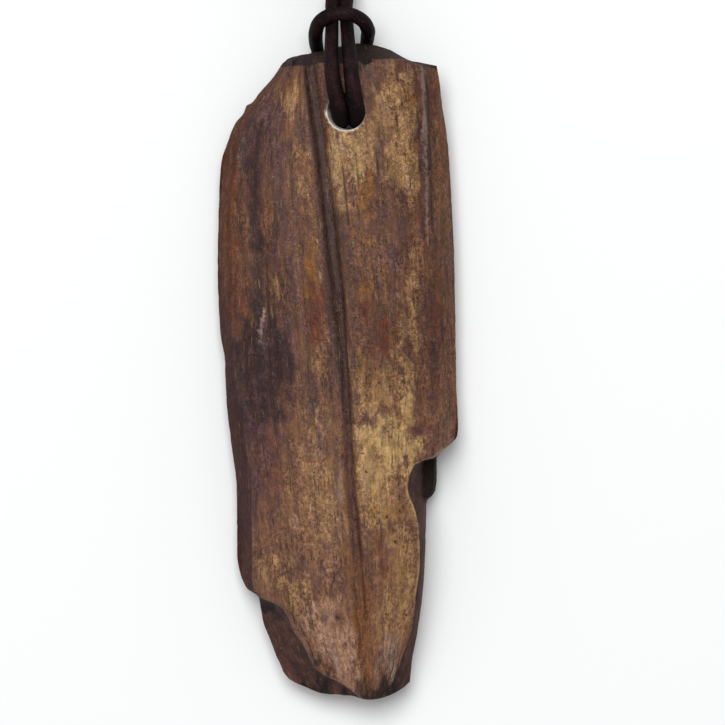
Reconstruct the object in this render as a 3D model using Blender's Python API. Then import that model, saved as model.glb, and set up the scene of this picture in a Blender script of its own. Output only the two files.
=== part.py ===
"""A drilled fossil walrus tooth with its leather cord, lying on its back.

The tooth lies along Y with its drilled end towards +Y and its fluted front facing up.
A round leather cord is tied through the hole in a lark's head: two strands lie on the front,
go through the hole, and come back behind as a loop that crosses over them. The rest of the
cord lies in a neat coil beyond the drilled end, and its two ends meet in a barrel knot.
The origin is the bottom centre of the tooth's own box. Design tables are in millimetres.
"""
from math import pi

import bmesh
import bpy
import numpy as np
from mathutils import Matrix, Vector

MM = 0.001

# Driving dimensions, in millimetres
SHOULDER_HEIGHT = 2.7     # height where the rounded front meets the sides
SHOULDER_ROUND = 4.0      # how far the back curls up at its edges
HOLE_CENTRE = (1.33, 30.75)
HOLE_DIAMETER = 4.7
HOLE_SIDES = 28
DRILL_LENGTH = 30.0
DRILL_MIDDLE = 5.0        # height of the drill's middle
CORD_DIAMETER = 1.5
TOOTH_COLOUR = (0.36, 0.22, 0.12)
TOOTH_ROUGHNESS = 0.55
CORD_COLOUR = (0.035, 0.014, 0.010)
CORD_ROUGHNESS = 0.45
SHARP_ANGLE = 0.7         # radians; flatter edges are shaded smooth

# Outline of the tooth seen from the front: sides as (y, x), ends as (x, y)
LEFT_SIDE = [
    (37.10, -6.55), (35.05, -8.00), (33.40, -9.45), (32.25, -10.35), (32.00, -10.90),
    (31.00, -11.35), (29.85, -12.30), (27.40, -13.30), (25.00, -14.00), (21.75, -14.25),
    (12.15, -14.45), (4.95, -14.15), (1.35, -13.60), (-3.45, -13.40), (-7.65, -12.95),
    (-14.85, -12.15), (-22.05, -12.10), (-24.10, -11.80), (-26.15, -10.90), (-27.10, -9.50),
    (-27.80, -9.40), (-30.10, -8.95), (-32.25, -8.15), (-34.40, -7.30), (-36.10, -6.55),
]
RIGHT_SIDE = [
    (36.65, 11.90), (34.35, 12.25), (31.95, 12.55), (27.15, 13.25), (19.95, 13.70),
    (13.35, 14.00), (-1.05, 14.25), (-7.05, 14.45), (-7.75, 14.35), (-8.35, 13.95),
    (-8.90, 13.35), (-9.45, 12.65), (-10.05, 12.10), (-10.40, 11.90), (-13.05, 11.90),
    (-13.90, 11.80), (-14.60, 11.60), (-15.10, 11.25), (-15.40, 10.85), (-16.05, 10.65),
    (-20.85, 10.55), (-25.05, 10.35), (-28.40, 10.00), (-32.00, 9.45), (-34.65, 8.95),
    (-37.30, 8.65),
]
TOP_END = [
    (-6.55, 37.10), (-5.95, 37.60), (-4.55, 38.00), (-2.15, 38.45), (0.25, 39.05),
    (2.05, 39.40), (3.85, 39.30), (6.25, 38.60), (8.65, 37.30), (9.85, 37.05), (11.90, 36.65),
]
BOTTOM_END = [
    (-6.55, -36.10), (-5.75, -37.05), (-3.95, -37.90), (-1.90, -38.70), (1.45, -38.95),
    (3.65, -39.40), (5.05, -39.25), (6.75, -38.70), (7.95, -37.95), (8.65, -37.30),
]

# Edges of the light outer layer, which has broken away at the lower left and in the notch
LAYER_TOP = [
    (-6.55, 36.55), (-3.10, 36.45), (-1.90, 36.80), (0.85, 36.75), (2.45, 37.00),
    (3.25, 36.50), (4.70, 37.25), (7.45, 37.30), (8.65, 37.00), (11.90, 36.25),
]
LAYER_LEFT = [
    (36.65, -5.50), (32.05, -9.10), (28.95, -11.15), (25.35, -12.20), (20.55, -12.55),
    (8.55, -12.55), (-3.45, -11.75), (-8.25, -10.90), (-15.45, -10.40), (-24.70, -10.05),
    (-26.00, -9.80), (-27.10, -9.35), (-27.70, -7.75), (-28.65, -6.40), (-31.05, -5.25),
    (-33.80, -3.55), (-35.15, -3.05), (-36.45, -1.55), (-37.55, 0.65), (-39.10, 2.65),
]
LAYER_RIGHT = [
    (36.65, 11.05), (27.75, 11.80), (20.55, 12.25), (1.35, 12.65), (-3.45, 13.00),
    (-6.45, 13.60), (-7.75, 14.20), (-8.35, 13.85), (-8.90, 13.25), (-9.45, 12.50),
    (-10.05, 11.95), (-10.35, 11.55), (-10.55, 10.70), (-10.85, 9.65), (-11.35, 9.05),
    (-12.80, 8.45), (-13.75, 8.30), (-14.60, 8.45), (-16.90, 9.25), (-18.45, 9.55),
    (-22.65, 9.75), (-27.45, 9.25), (-31.30, 8.75), (-33.45, 7.95), (-35.60, 7.25),
    (-36.95, 6.75), (-38.75, 5.05),
]

# The whole, unbroken width that the arch of the front is drawn over
WHOLE_LEFT = [
    (37.10, -7.55), (32.55, -11.15), (28.95, -13.15), (16.95, -14.35), (4.95, -14.15),
    (-14.85, -12.20), (-27.45, -11.15), (-36.10, -7.90), (-39.45, -5.75),
]
WHOLE_RIGHT = [
    (37.10, 12.25), (27.15, 13.25), (13.35, 14.00), (-7.05, 14.35), (-15.45, 14.05),
    (-22.65, 13.35), (-29.85, 12.05), (-39.45, 8.05),
]
CREST_HEIGHT = [
    (39.30, 8.7), (37.10, 9.1), (26.50, 9.8), (8.50, 10.8), (-9.50, 10.6), (-22.60, 9.6),
    (-32.20, 7.9), (-39.40, 5.7),
]
ARCH_POWER = 2.6          # how flat the middle of the arch is
ARCH_ROUNDNESS = 0.6      # how full its shoulders are

# The long groove down the front: its two edges and its deepest line
GROOVE_LEFT = [
    (37.10, -4.15), (32.55, -3.55), (20.55, -2.05), (8.55, -0.80), (-3.45, 0.40),
    (-8.25, 0.25), (-20.25, 0.25), (-25.05, 0.75), (-29.85, 2.05), (-38.25, 2.90),
]
GROOVE_FLOOR = [
    (37.10, -3.60), (26.55, -2.15), (14.55, -0.85), (7.35, 0.30), (-3.45, 1.10),
    (-15.45, 1.75), (-20.25, 2.35), (-29.85, 2.90), (-38.25, 3.65),
]
GROOVE_RIGHT = [
    (37.10, -2.60), (26.55, -1.05), (14.55, 0.25), (2.55, 1.25), (-8.25, 1.90),
    (-15.45, 2.45), (-25.05, 3.15), (-33.45, 4.25), (-38.25, 4.45),
]
GROOVE_DEPTH = [
    (37.10, 0.55), (32.00, 0.80), (10.00, 0.80), (3.00, 0.50), (-6.00, 0.45),
    (-12.00, 0.75), (-24.00, 0.90), (-32.00, 0.60), (-39.00, 0.35),
]
GROOVE_BANK = 0.2         # how far its banks reach outside its edges
GROOVE_FLATNESS = (0.12, 0.55)   # flat share of the floor, in the lower and the upper part
GROOVE_WIDENS = (-2.0, 10.0)     # the floor changes from one to the other between these y
VALLEY_LINE = [(31.35, -11.35), (20.55, -9.95), (4.95, -8.35), (-3.45, -8.15)]
VALLEY_DEPTH = [(33.0, 0.0), (24.0, 0.45), (0.0, 0.55), (-8.0, 0.15), (-12.0, 0.0)]
VALLEY_WIDTH = 1.7

# Height of the widest line round the body, where front and back sheets meet
RIM_LEFT = [(37.10, 3.6), (30.0, 3.0), (20.0, 2.8), (-25.0, 2.7), (-36.10, 3.2)]
RIM_RIGHT = [
    (36.65, 5.0), (33.0, 3.8), (25.0, 3.0), (-5.0, 3.2), (-8.0, 4.2), (-10.0, 4.0),
    (-10.6, 2.4), (-15.0, 2.4), (-16.5, 2.9), (-33.0, 3.0), (-37.30, 3.6),
]
RIM_TOP = [(-6.55, 3.6), (-2.0, 3.5), (4.0, 3.5), (7.5, 4.2), (9.5, 5.4), (11.90, 5.0)]
RIM_BOTTOM = [(-6.55, 3.2), (-2.0, 3.7), (1.5, 4.6), (3.65, 5.2), (6.0, 4.8), (8.65, 3.6)]
RIM_REACH = 4.0           # how far from an end the rim follows that end's own table

# The back is flat, and rises towards the drilled end so that the cord passes under it
BACK_RISE = [
    (39.3, 3.3), (37.1, 3.2), (33.6, 2.8), (30.9, 2.35), (29.0, 1.75), (26.4, 0.85),
    (24.0, 0.25), (21.5, 0.0), (-39.4, 0.0),
]

# The broken faces round the light layer
BREAK_STEP = 1.0          # height of the little cliff at the lower left
BREAK_TOP = -26.2         # where that break begins and is at its full depth
BREAK_FULL = -28.4
CLIFF_WIDTH = 0.3         # how wide the layer's broken edge is
NOTCH_TOP = -10.05
NOTCH_BOTTOM = -15.45
NOTCH_BLEND = 0.5
NOTCH_LEDGE_X = 10.2      # where the notch's sloping wall meets its ledge
NOTCH_LEDGE_HEIGHT = 3.4
NOTCH_WALL_POWER = 0.75   # below 1 the wall is hollow: steep first, then level

# Rows of the two sheets: (from y, number of rows) down the length
ROWS = [
    (36.70, 5), (31.00, 4), (26.50, 5), (19.00, 6), (8.00, 6), (-3.00, 3), (-7.20, 8),
    (-11.00, 4), (-14.60, 4), (-15.80, 4), (-23.50, 3), (-26.40, 5), (-28.80, 6), (-34.50, 5),
    (-38.30, 0),
]
END_ROWS = (0.0, 0.45, 0.8)                   # rows down the dark end face
END_BEND = (29.0, -27.0)                      # past these the rows bend to follow the ends
SIDE_COLUMNS = (0.0, 0.12, 0.35, 0.68, 1.0)   # across the rounded left side
LEFT_COLUMNS = 6
RIGHT_COLUMNS = 8
CLIFF_COLUMN = 0.3                            # distance from a layer edge to the cliff's foot
CLIFF_SHARE = 0.4                             # most of a narrow side that the cliff may take
COLUMN_LIMITS = (-2.9, 6.9)                   # the layer's edge columns stay outside these x
ROW_PASSES = 4                                # repeats that settle the rows and the columns
OUTLINE_POINTS = 90                           # points along each side and end of an outline
FLAT_ANGLE = 0.001                            # radians; the resting face is flatter than this
TINY = 1e-6

# Route of the cord's middle line: left strand, hole, loop behind and over, hole, right strand
COIL_CENTRE = (-8.5, 61.0)
LEFT_HALF = [
    (1.02, 51.85, 0.80), (0.55, 49.90, 1.05), (0.00, 47.50, 2.05), (-0.60, 44.55, 4.10),
    (-0.68, 42.60, 5.65), (-0.70, 40.70, 7.45), (-0.74, 38.90, 9.18), (-0.76, 37.20, 10.27),
    (-0.56, 34.95, 10.72), (-0.18, 33.00, 10.62), (0.24, 31.15, 9.75), (0.42, 30.10, 8.25),
    (0.43, 29.86, 6.40), (0.42, 29.86, 4.85), (0.34, 30.22, 3.15), (0.08, 31.40, 1.75),
    (-0.42, 33.20, 1.12), (-1.05, 35.00, 1.18), (-1.65, 36.30, 1.32), (-2.10, 37.40, 1.50),
    (-2.43, 38.55, 2.00), (-2.61, 39.35, 2.95), (-2.66, 39.90, 4.10), (-2.66, 40.30, 5.15),
    (-2.60, 40.80, 6.15), (-2.20, 41.75, 7.30), (-1.10, 42.50, 8.15),
]
LOOP_TOP = [(0.47, 42.78, 8.45)]
RIGHT_HALF = [
    (2.04, 42.50, 8.15), (3.14, 41.80, 7.35), (3.58, 41.05, 6.25), (3.66, 40.74, 5.05),
    (3.64, 40.60, 3.95), (3.58, 40.18, 2.85), (3.44, 39.35, 1.95), (3.16, 38.15, 1.48),
    (2.84, 36.80, 1.30), (2.50, 35.10, 1.18), (2.30, 33.20, 1.12), (2.26, 31.40, 1.75),
    (2.24, 30.22, 3.15), (2.24, 29.86, 4.85), (2.25, 29.86, 6.40), (2.28, 30.10, 8.25),
    (2.26, 31.15, 9.75), (1.96, 33.00, 10.62), (1.68, 34.95, 10.72), (1.46, 37.20, 10.27),
    (1.30, 38.90, 9.18), (1.16, 40.70, 7.45), (1.04, 42.60, 5.65), (1.02, 44.55, 4.10),
    (1.70, 47.50, 2.05), (2.42, 49.90, 1.05), (2.70, 52.00, 0.80), (2.78, 54.20, 0.77),
]
CORD_STEP = 1.5           # distance between the tube's points
ROUTE_SAMPLES = 24        # samples of the smooth route between two of its points

# Coil: an outer and an inner stack of turns, two strands side by side in each
COIL_OUTER = 12.10
COIL_INNER = 5.85
COIL_HEIGHT = 4.55
COIL_ROUND = 0.75
COIL_SEGMENTS = 44

# Barrel knot that joins the two ends, lying inside the coil with its tails towards the tooth
KNOT_START = (-9.05, 63.85)
KNOT_LENGTH = 5.4
KNOT_WIDTH = 5.6
KNOT_HEIGHT = 4.4
KNOT_WRAPS = 3
KNOT_WAIST = 0.82         # width between two wraps, as a share of the full width
KNOT_END = 0.55           # width of its two end faces
WRAP_ROUND = 0.6          # below 1 the wraps are full and the gaps between them narrow
WRAP_STATIONS = 4
KNOT_SIDES = 16
TAIL_LENGTH = 1.6
TAIL_ROOT = 1.0           # how deep a tail starts inside the knot
TAIL_OFFSET = 0.95        # distance of each tail from the knot's middle line
TAIL_SIDES = 8


def curve(table):
    """A smooth function through (station, value) pairs that never overshoots them."""
    knots = np.array(sorted(table))
    station, value = knots[:, 0], knots[:, 1]
    step = np.diff(station)
    slope = np.diff(value) / step
    same = slope[:-1] * slope[1:] > 0
    total = np.where(same, slope[:-1] + slope[1:], 1.0)
    inner = np.where(same, 2 * slope[:-1] * slope[1:] / total, 0.0)
    tangent = np.concatenate([slope[:1], inner, slope[-1:]])

    def at(place):
        place = np.clip(place, station[0], station[-1])
        i = np.clip(np.searchsorted(station, place) - 1, 0, len(step) - 1)
        t = (place - station[i]) / step[i]
        ends = value[i] * (1 + 2 * t) * (1 - t) ** 2 + value[i + 1] * t * t * (3 - 2 * t)
        turns = tangent[i] * t * (1 - t) ** 2 - tangent[i + 1] * t * t * (1 - t)
        return ends + turns * step[i]

    return at


def ramp(start, end, place):
    """0 before start and 1 after end, with a smooth change between them."""
    t = np.clip((place - start) / (end - start), 0, 1)
    return t * t * (3 - 2 * t)


def quarter_round(t):
    """Rises from 0 to 1 like a quarter of a circle: steep first, then level."""
    return np.sqrt(1 - (1 - np.clip(t, 0, 1)) ** 2)


left_side = curve(LEFT_SIDE)
right_side = curve(RIGHT_SIDE)
top_end = curve(TOP_END)
bottom_end = curve(BOTTOM_END)
layer_top = curve(LAYER_TOP)
layer_left = curve(LAYER_LEFT)
layer_right = curve(LAYER_RIGHT)
whole_left = curve(WHOLE_LEFT)
whole_right = curve(WHOLE_RIGHT)
crest_height = curve(CREST_HEIGHT)
groove_left = curve(GROOVE_LEFT)
groove_floor = curve(GROOVE_FLOOR)
groove_right = curve(GROOVE_RIGHT)
groove_depth = curve(GROOVE_DEPTH)
valley_line = curve(VALLEY_LINE)
valley_depth = curve(VALLEY_DEPTH)
rim_left = curve(RIM_LEFT)
rim_right = curve(RIM_RIGHT)
rim_top = curve(RIM_TOP)
rim_bottom = curve(RIM_BOTTOM)
back_rise = curve(BACK_RISE)


def closed_line(left, right, top, bottom, foot_left, foot_right):
    """A closed outline, as points, from two sides x(y), which end at their feet, and two ends y(x)."""
    y_left = np.linspace(LEFT_SIDE[0][0], foot_left, OUTLINE_POINTS)
    y_right = np.linspace(foot_right, RIGHT_SIDE[0][0], OUTLINE_POINTS)
    x_bottom = np.linspace(left(y_left[-1]), right(y_right[0]), OUTLINE_POINTS)
    x_top = np.linspace(right(y_right[-1]), left(y_left[0]), OUTLINE_POINTS)
    return np.concatenate([
        np.stack([left(y_left), y_left], 1), np.stack([x_bottom, bottom(x_bottom)], 1),
        np.stack([right(y_right), y_right], 1), np.stack([x_top, top(x_top)], 1)])


def distance(x, y, line):
    """Distance of each point to the nearest stretch of a closed line."""
    nearest = np.full(x.shape, np.inf)
    for (ax, ay), (bx, by) in zip(line, np.roll(line, -1, axis=0)):
        run = max((bx - ax) ** 2 + (by - ay) ** 2, TINY)
        t = np.clip(((x - ax) * (bx - ax) + (y - ay) * (by - ay)) / run, 0, 1)
        nearest = np.minimum(nearest, np.hypot(x - ax - t * (bx - ax), y - ay - t * (by - ay)))
    return nearest


outline = closed_line(
    left_side, right_side, top_end, bottom_end, LEFT_SIDE[-1][0], RIGHT_SIDE[-1][0])
layer_line = closed_line(
    layer_left, layer_right, layer_top, bottom_end, LAYER_LEFT[-1][0], LAYER_RIGHT[-1][0])


def layer_depth(x, y):
    """How far inside the light layer a point is; negative where the layer is gone."""
    inside = (x > layer_left(y)) & (x < layer_right(y)) & (y < layer_top(x))
    return np.where(inside, 1, -1) * distance(x, y, layer_line)


def rim_height(x, y):
    """Height of the rim, carried inwards from the nearest sides and ends."""
    across = (x - left_side(y)) / (right_side(y) - left_side(y))
    side = rim_left(y) + (rim_right(y) - rim_left(y)) * np.clip(across, 0, 1)
    near_top = ramp(RIM_REACH, 0, top_end(x) - y)
    near_bottom = ramp(RIM_REACH, 0, y - bottom_end(x))
    side = side + (rim_top(x) - side) * near_top
    return side + (rim_bottom(x) - side) * near_bottom


def crown(x, y):
    """Unbroken front: an arch across the whole width, less its groove and valley."""
    left, right = whole_left(y), whole_right(y)
    off = np.clip(np.abs(2 * x - left - right) / (right - left), 0, 1)
    arch = (1 - off ** ARCH_POWER) ** ARCH_ROUNDNESS
    height = SHOULDER_HEIGHT + (crest_height(y) - SHOULDER_HEIGHT) * arch
    floor, far_edge = groove_floor(y), groove_right(y)
    lower, upper = GROOVE_FLATNESS
    flat_end = floor + (far_edge - floor) * (lower + (upper - lower) * ramp(*GROOVE_WIDENS, y))
    left_bank = ramp(groove_left(y) - GROOVE_BANK, floor, x)
    right_bank = ramp(far_edge + GROOVE_BANK, flat_end, x)
    groove = groove_depth(y) * np.minimum(left_bank, right_bank)
    valley = valley_depth(y) * np.exp(-((x - valley_line(y)) / VALLEY_WIDTH) ** 2)
    return height - groove - valley


def front(x, y):
    """Height of the front: the layer's crown, and the broken or rounded faces around it."""
    top = crown(x, y)
    depth = layer_depth(x, y)
    out = distance(x, y, outline)
    rim = rim_height(x, y)
    share = out / np.maximum(out + np.abs(depth), TINY)
    broken = ramp(BREAK_TOP, BREAK_FULL, y) * (x < groove_floor(y))
    end_face = (y > layer_top(x)) * 1.0
    slope = np.maximum(broken, end_face)
    rise = quarter_round(share) * (1 - slope) + share * slope
    face = rim + (top - BREAK_STEP * broken - rim) * rise
    run = np.maximum(NOTCH_LEDGE_X - layer_right(y), CLIFF_WIDTH)
    wall = np.clip((NOTCH_LEDGE_X - x) / run, 0, 1) ** NOTCH_WALL_POWER
    ledge = NOTCH_LEDGE_HEIGHT + (top - NOTCH_LEDGE_HEIGHT) * wall
    ledge = rim + (ledge - rim) * quarter_round(out / CLIFF_COLUMN)
    in_notch = ramp(NOTCH_TOP, NOTCH_TOP - NOTCH_BLEND, y)
    in_notch = in_notch * ramp(NOTCH_BOTTOM, NOTCH_BOTTOM + NOTCH_BLEND, y) * (x > 0)
    face = face + (ledge - face) * in_notch
    return face + (top - face) * ramp(-CLIFF_WIDTH, CLIFF_WIDTH, depth)


def back(x, y):
    """Height of the back: flat, rising to the drilled end and curling up to the rim."""
    rise = back_rise(y)
    curl = 1 - quarter_round(distance(x, y, outline) / SHOULDER_ROUND)
    return rise + (rim_height(x, y) - rise) * curl


def columns(y):
    """The x of every column of the sheets at the heights y, from the left to the right side."""
    left, right = left_side(y), right_side(y)
    layer_l = np.minimum(layer_left(y), COLUMN_LIMITS[0])
    layer_r = np.maximum(layer_right(y), COLUMN_LIMITS[1])
    foot_l = layer_l - np.minimum(CLIFF_COLUMN, CLIFF_SHARE * (layer_l - left))
    foot_r = layer_r + np.minimum(CLIFF_COLUMN, CLIFF_SHARE * (right - layer_r))
    near, floor, far = groove_left(y), groove_floor(y), groove_right(y)
    across = [left + (foot_l - left) * s for s in SIDE_COLUMNS]
    across += [layer_l + (near - layer_l) * s for s in np.linspace(0, 1, LEFT_COLUMNS + 1)]
    across += [(near + floor) / 2, floor, (far + floor) / 2]
    across += [far + (layer_r - far) * s for s in np.linspace(0, 1, RIGHT_COLUMNS + 1)]
    across += [right + (foot_r - right) * s for s in reversed(SIDE_COLUMNS)]
    return across


def lattice():
    """Places (x, y) of the sheets' points: rows down the length, columns across it."""
    stations = np.concatenate([
        np.linspace(start, end, count, endpoint=False)
        for (start, count), (end, _) in zip(ROWS, ROWS[1:])] + [[ROWS[-1][0]]])
    rows = []
    for kind, level in [("end", s) for s in END_ROWS] + [("body", s) for s in stations]:
        y = np.full(len(columns(0.0)), ROWS[0][0] if kind == "end" else level)
        for _ in range(ROW_PASSES):
            x = np.diagonal(columns(y))
            if kind == "end":
                y = top_end(x) + (layer_top(x) - top_end(x)) * level
            else:
                y = level + (layer_top(x) - ROWS[0][0]) * ramp(END_BEND[0], ROWS[0][0], level)
                y = y + (bottom_end(x) - ROWS[-1][0]) * ramp(END_BEND[1], ROWS[-1][0], level)
        rows.append((x, y))
    return np.array([x for x, _ in rows]), np.array([y for _, y in rows])


def rim_points(x, y):
    """Sets the height of every point that lies on the rim, shared by both sheets."""
    z = np.empty(x.shape)
    z[:, 0], z[:, -1] = rim_left(y[:, 0]), rim_right(y[:, -1])
    z[0], z[-1] = rim_top(x[0]), rim_bottom(x[-1])
    return z


def finish(piece, colour, roughness):
    """Gives a piece a material of its own and links it to the scene."""
    material = bpy.data.materials.new(piece.name)
    material.use_nodes = True
    shader = material.node_tree.nodes["Principled BSDF"]
    shader.inputs["Base Color"].default_value = (*colour, 1)
    shader.inputs["Roughness"].default_value = roughness
    shader.inputs["Metallic"].default_value = 0
    piece.data.materials.append(material)
    bpy.context.collection.objects.link(piece)


def mesh_object(name, bm, colour, roughness):
    """Turns a bmesh into a linked object that is shaded smooth and has its own material."""
    mesh = bpy.data.meshes.new(name)
    bm.to_mesh(mesh)
    bm.free()
    mesh.shade_smooth()
    mesh.set_sharp_from_angle(angle=SHARP_ANGLE)
    piece = bpy.data.objects.new(name, mesh)
    finish(piece, colour, roughness)
    return piece


def add_boolean(piece, name, bm, operation):
    """Cuts or joins the shape in a bmesh, kept as a hidden wire object."""
    mesh = bpy.data.meshes.new(name)
    bm.to_mesh(mesh)
    bm.free()
    tool = bpy.data.objects.new(name, mesh)
    tool.hide_render = True
    tool.display_type = "WIRE"
    bpy.context.collection.objects.link(tool)
    modifier = piece.modifiers.new(name, "BOOLEAN")
    modifier.operation = operation
    modifier.solver = "EXACT"
    modifier.object = tool


def tooth():
    """Two sheets over one lattice, joined along the rim, with the hole drilled through."""
    x, y = lattice()
    rim = rim_points(x, y)
    heights = {"front": front(x, y), "back": back(x, y)}
    bm = bmesh.new()
    row_count, column_count = x.shape
    sheet = {}
    for side, z in heights.items():
        for i in range(row_count):
            for j in range(column_count):
                on_rim = i in (0, row_count - 1) or j in (0, column_count - 1)
                if on_rim and side == "back":
                    sheet[side, i, j] = sheet["front", i, j]
                    continue
                height = rim[i, j] if on_rim else z[i, j]
                sheet[side, i, j] = bm.verts.new((x[i, j] * MM, y[i, j] * MM, height * MM))
    flat = []
    for side in heights:
        for i in range(row_count - 1):
            for j in range(column_count - 1):
                corners = [sheet[side, i, j], sheet[side, i + 1, j],
                           sheet[side, i + 1, j + 1], sheet[side, i, j + 1]]
                face = bm.faces.new(corners if side == "front" else corners[::-1])
                if side == "back" and all(corner.co.z == 0 for corner in corners):
                    flat.append(face)
    resting = {edge for face in flat for edge in face.edges}
    bmesh.ops.dissolve_limit(
        bm, angle_limit=FLAT_ANGLE, verts=list({v for face in flat for v in face.verts}),
        edges=list(resting))
    piece = mesh_object("tooth", bm, TOOTH_COLOUR, TOOTH_ROUGHNESS)
    drill = bmesh.new()
    place = Matrix.Translation(Vector((*HOLE_CENTRE, DRILL_MIDDLE)) * MM)
    bmesh.ops.create_cone(
        drill, cap_ends=True, segments=HOLE_SIDES, radius1=HOLE_DIAMETER / 2 * MM,
        radius2=HOLE_DIAMETER / 2 * MM, depth=DRILL_LENGTH * MM, matrix=place)
    add_boolean(piece, "drill", drill, "DIFFERENCE")


def smooth_route(points, step):
    """Even points along a smooth curve (Catmull-Rom) through the route's own points."""
    points = np.array(points)
    padded = np.vstack([2 * points[0] - points[1], points, 2 * points[-1] - points[-2]])
    t = np.linspace(0, 1, ROUTE_SAMPLES, endpoint=False)[:, None]
    stretches = []
    for a, b, c, d in zip(padded, padded[1:], padded[2:], padded[3:]):
        stretches.append(0.5 * (
            2 * b + (c - a) * t + (2 * a - 5 * b + 4 * c - d) * t ** 2
            + (3 * b - a - 3 * c + d) * t ** 3))
    fine = np.vstack(stretches + [points[-1:]])
    along = np.concatenate([[0], np.cumsum(np.linalg.norm(np.diff(fine, axis=0), axis=1))])
    even = np.linspace(0, along[-1], int(round(along[-1] / step)) + 1)
    return np.stack([np.interp(even, along, fine[:, k]) for k in range(3)], 1)


def cord():
    """The hitch and both strands as one round tube."""
    route = smooth_route(LEFT_HALF + LOOP_TOP + RIGHT_HALF, CORD_STEP)
    path = bpy.data.curves.new("cord", "CURVE")
    path.dimensions = "3D"
    path.bevel_depth = CORD_DIAMETER / 2 * MM
    path.bevel_resolution = 2
    path.use_fill_caps = True
    spline = path.splines.new("POLY")
    spline.points.add(len(route) - 1)
    for point, place in zip(spline.points, route):
        point.co = (*(place * MM), 1)
    spline.use_smooth = True
    finish(bpy.data.objects.new("cord", path), CORD_COLOUR, CORD_ROUGHNESS)


def cord_coil():
    """The outer shape of the coil: a rounded profile turned about a vertical axis."""
    corner = COIL_ROUND
    profile = []
    for radius, height, start in (
            (COIL_OUTER - corner, corner, -90), (COIL_OUTER - corner, COIL_HEIGHT - corner, 0),
            (COIL_INNER + corner, COIL_HEIGHT - corner, 90), (COIL_INNER + corner, corner, 180)):
        for turn in (0, 45, 90):
            angle = np.radians(start + turn)
            profile.append((radius + corner * np.cos(angle), height + corner * np.sin(angle)))
    bm = bmesh.new()
    rings = []
    for angle in np.linspace(0, 2 * pi, COIL_SEGMENTS, endpoint=False):
        rings.append([
            bm.verts.new((
                (COIL_CENTRE[0] + radius * np.cos(angle)) * MM,
                (COIL_CENTRE[1] + radius * np.sin(angle)) * MM,
                height * MM))
            for radius, height in profile])
    for this, after in zip(rings, rings[1:] + rings[:1]):
        for j, k in enumerate(list(range(1, len(profile))) + [0]):
            bm.faces.new((this[j], after[j], after[k], this[k]))
    mesh_object("cord_coil", bm, CORD_COLOUR, CORD_ROUGHNESS)


def tube_between_rings(bm, rings):
    """Skins a row of rings of points and closes both ends."""
    for this, after in zip(rings, rings[1:]):
        for j, k in enumerate(list(range(1, len(this))) + [0]):
            bm.faces.new((this[j], this[k], after[k], after[j]))
    bm.faces.new(rings[0][::-1])
    bm.faces.new(rings[-1])


def end_knot():
    """A barrel of three wraps round both cord ends, whose tails stand out at one end."""
    stations = np.linspace(0, 1, WRAP_STATIONS * KNOT_WRAPS + 1)
    wraps = np.abs(np.sin(pi * KNOT_WRAPS * stations)) ** WRAP_ROUND
    bulge = KNOT_WAIST + (1 - KNOT_WAIST) * wraps
    bulge[[0, -1]] = KNOT_END

    def ring(bm, along, offset, half_width, half_height, sides):
        spots = []
        for angle in np.linspace(0, 2 * pi, sides, endpoint=False):
            across = KNOT_START[0] + offset + half_width * np.cos(angle)
            rise = KNOT_HEIGHT / 2 + half_height * np.sin(angle)
            spots.append(bm.verts.new((across * MM, (KNOT_START[1] - along) * MM, rise * MM)))
        return spots

    bm = bmesh.new()
    tube_between_rings(bm, [
        ring(bm, KNOT_LENGTH * s, 0, KNOT_WIDTH / 2 * b, KNOT_HEIGHT / 2 * b, KNOT_SIDES)
        for s, b in zip(stations, bulge)])
    piece = mesh_object("end_knot", bm, CORD_COLOUR, CORD_ROUGHNESS)
    radius = CORD_DIAMETER / 2
    for name, offset in (("left_tail", -TAIL_OFFSET), ("right_tail", TAIL_OFFSET)):
        bm = bmesh.new()
        tube_between_rings(bm, [
            ring(bm, along, offset, radius, radius, TAIL_SIDES)
            for along in (KNOT_LENGTH - TAIL_ROOT, KNOT_LENGTH + TAIL_LENGTH)])
        add_boolean(piece, name, bm, "UNION")


def main():
    """Clears the scene and makes every piece."""
    for piece in list(bpy.data.objects):
        bpy.data.objects.remove(piece)
    tooth()
    cord()
    cord_coil()
    end_knot()


main()
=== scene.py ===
# %% [markdown]
# # A fossil walrus tooth on a leather cord
# A long, flattened piece of walrus tooth that lay in the ground until minerals turned it brown. It is
# drilled near one end and hung on a round leather cord. Here it lies on its back with its fluted front
# up and its drilled end towards +Y. The sizes come from a measured CAD part, which is loaded first.

from math import pi

import bpy
import numpy as np
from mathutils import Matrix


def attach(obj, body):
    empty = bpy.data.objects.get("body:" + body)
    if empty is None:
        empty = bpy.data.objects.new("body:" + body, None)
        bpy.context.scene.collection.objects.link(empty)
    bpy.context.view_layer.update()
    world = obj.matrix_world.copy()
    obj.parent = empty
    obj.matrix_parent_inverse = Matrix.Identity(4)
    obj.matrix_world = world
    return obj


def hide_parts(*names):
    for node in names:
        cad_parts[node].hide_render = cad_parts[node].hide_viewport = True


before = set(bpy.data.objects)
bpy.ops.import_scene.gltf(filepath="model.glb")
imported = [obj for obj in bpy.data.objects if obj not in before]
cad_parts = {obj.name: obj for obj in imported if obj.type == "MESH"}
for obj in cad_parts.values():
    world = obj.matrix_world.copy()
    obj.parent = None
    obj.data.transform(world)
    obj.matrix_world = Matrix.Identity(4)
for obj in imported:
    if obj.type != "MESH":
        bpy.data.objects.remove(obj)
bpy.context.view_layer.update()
MM = 0.001
print("CAD nodes:", sorted(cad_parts))

# %% [markdown]
# ## Camera
# The tooth was looked at straight from the front, so the camera hangs over it and looks down. A long
# lens far away keeps the sides parallel, as a short lens close by would splay them. The values give,
# in millimetres, the point under the camera, how wide the view is there, and how far off it hangs.

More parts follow.
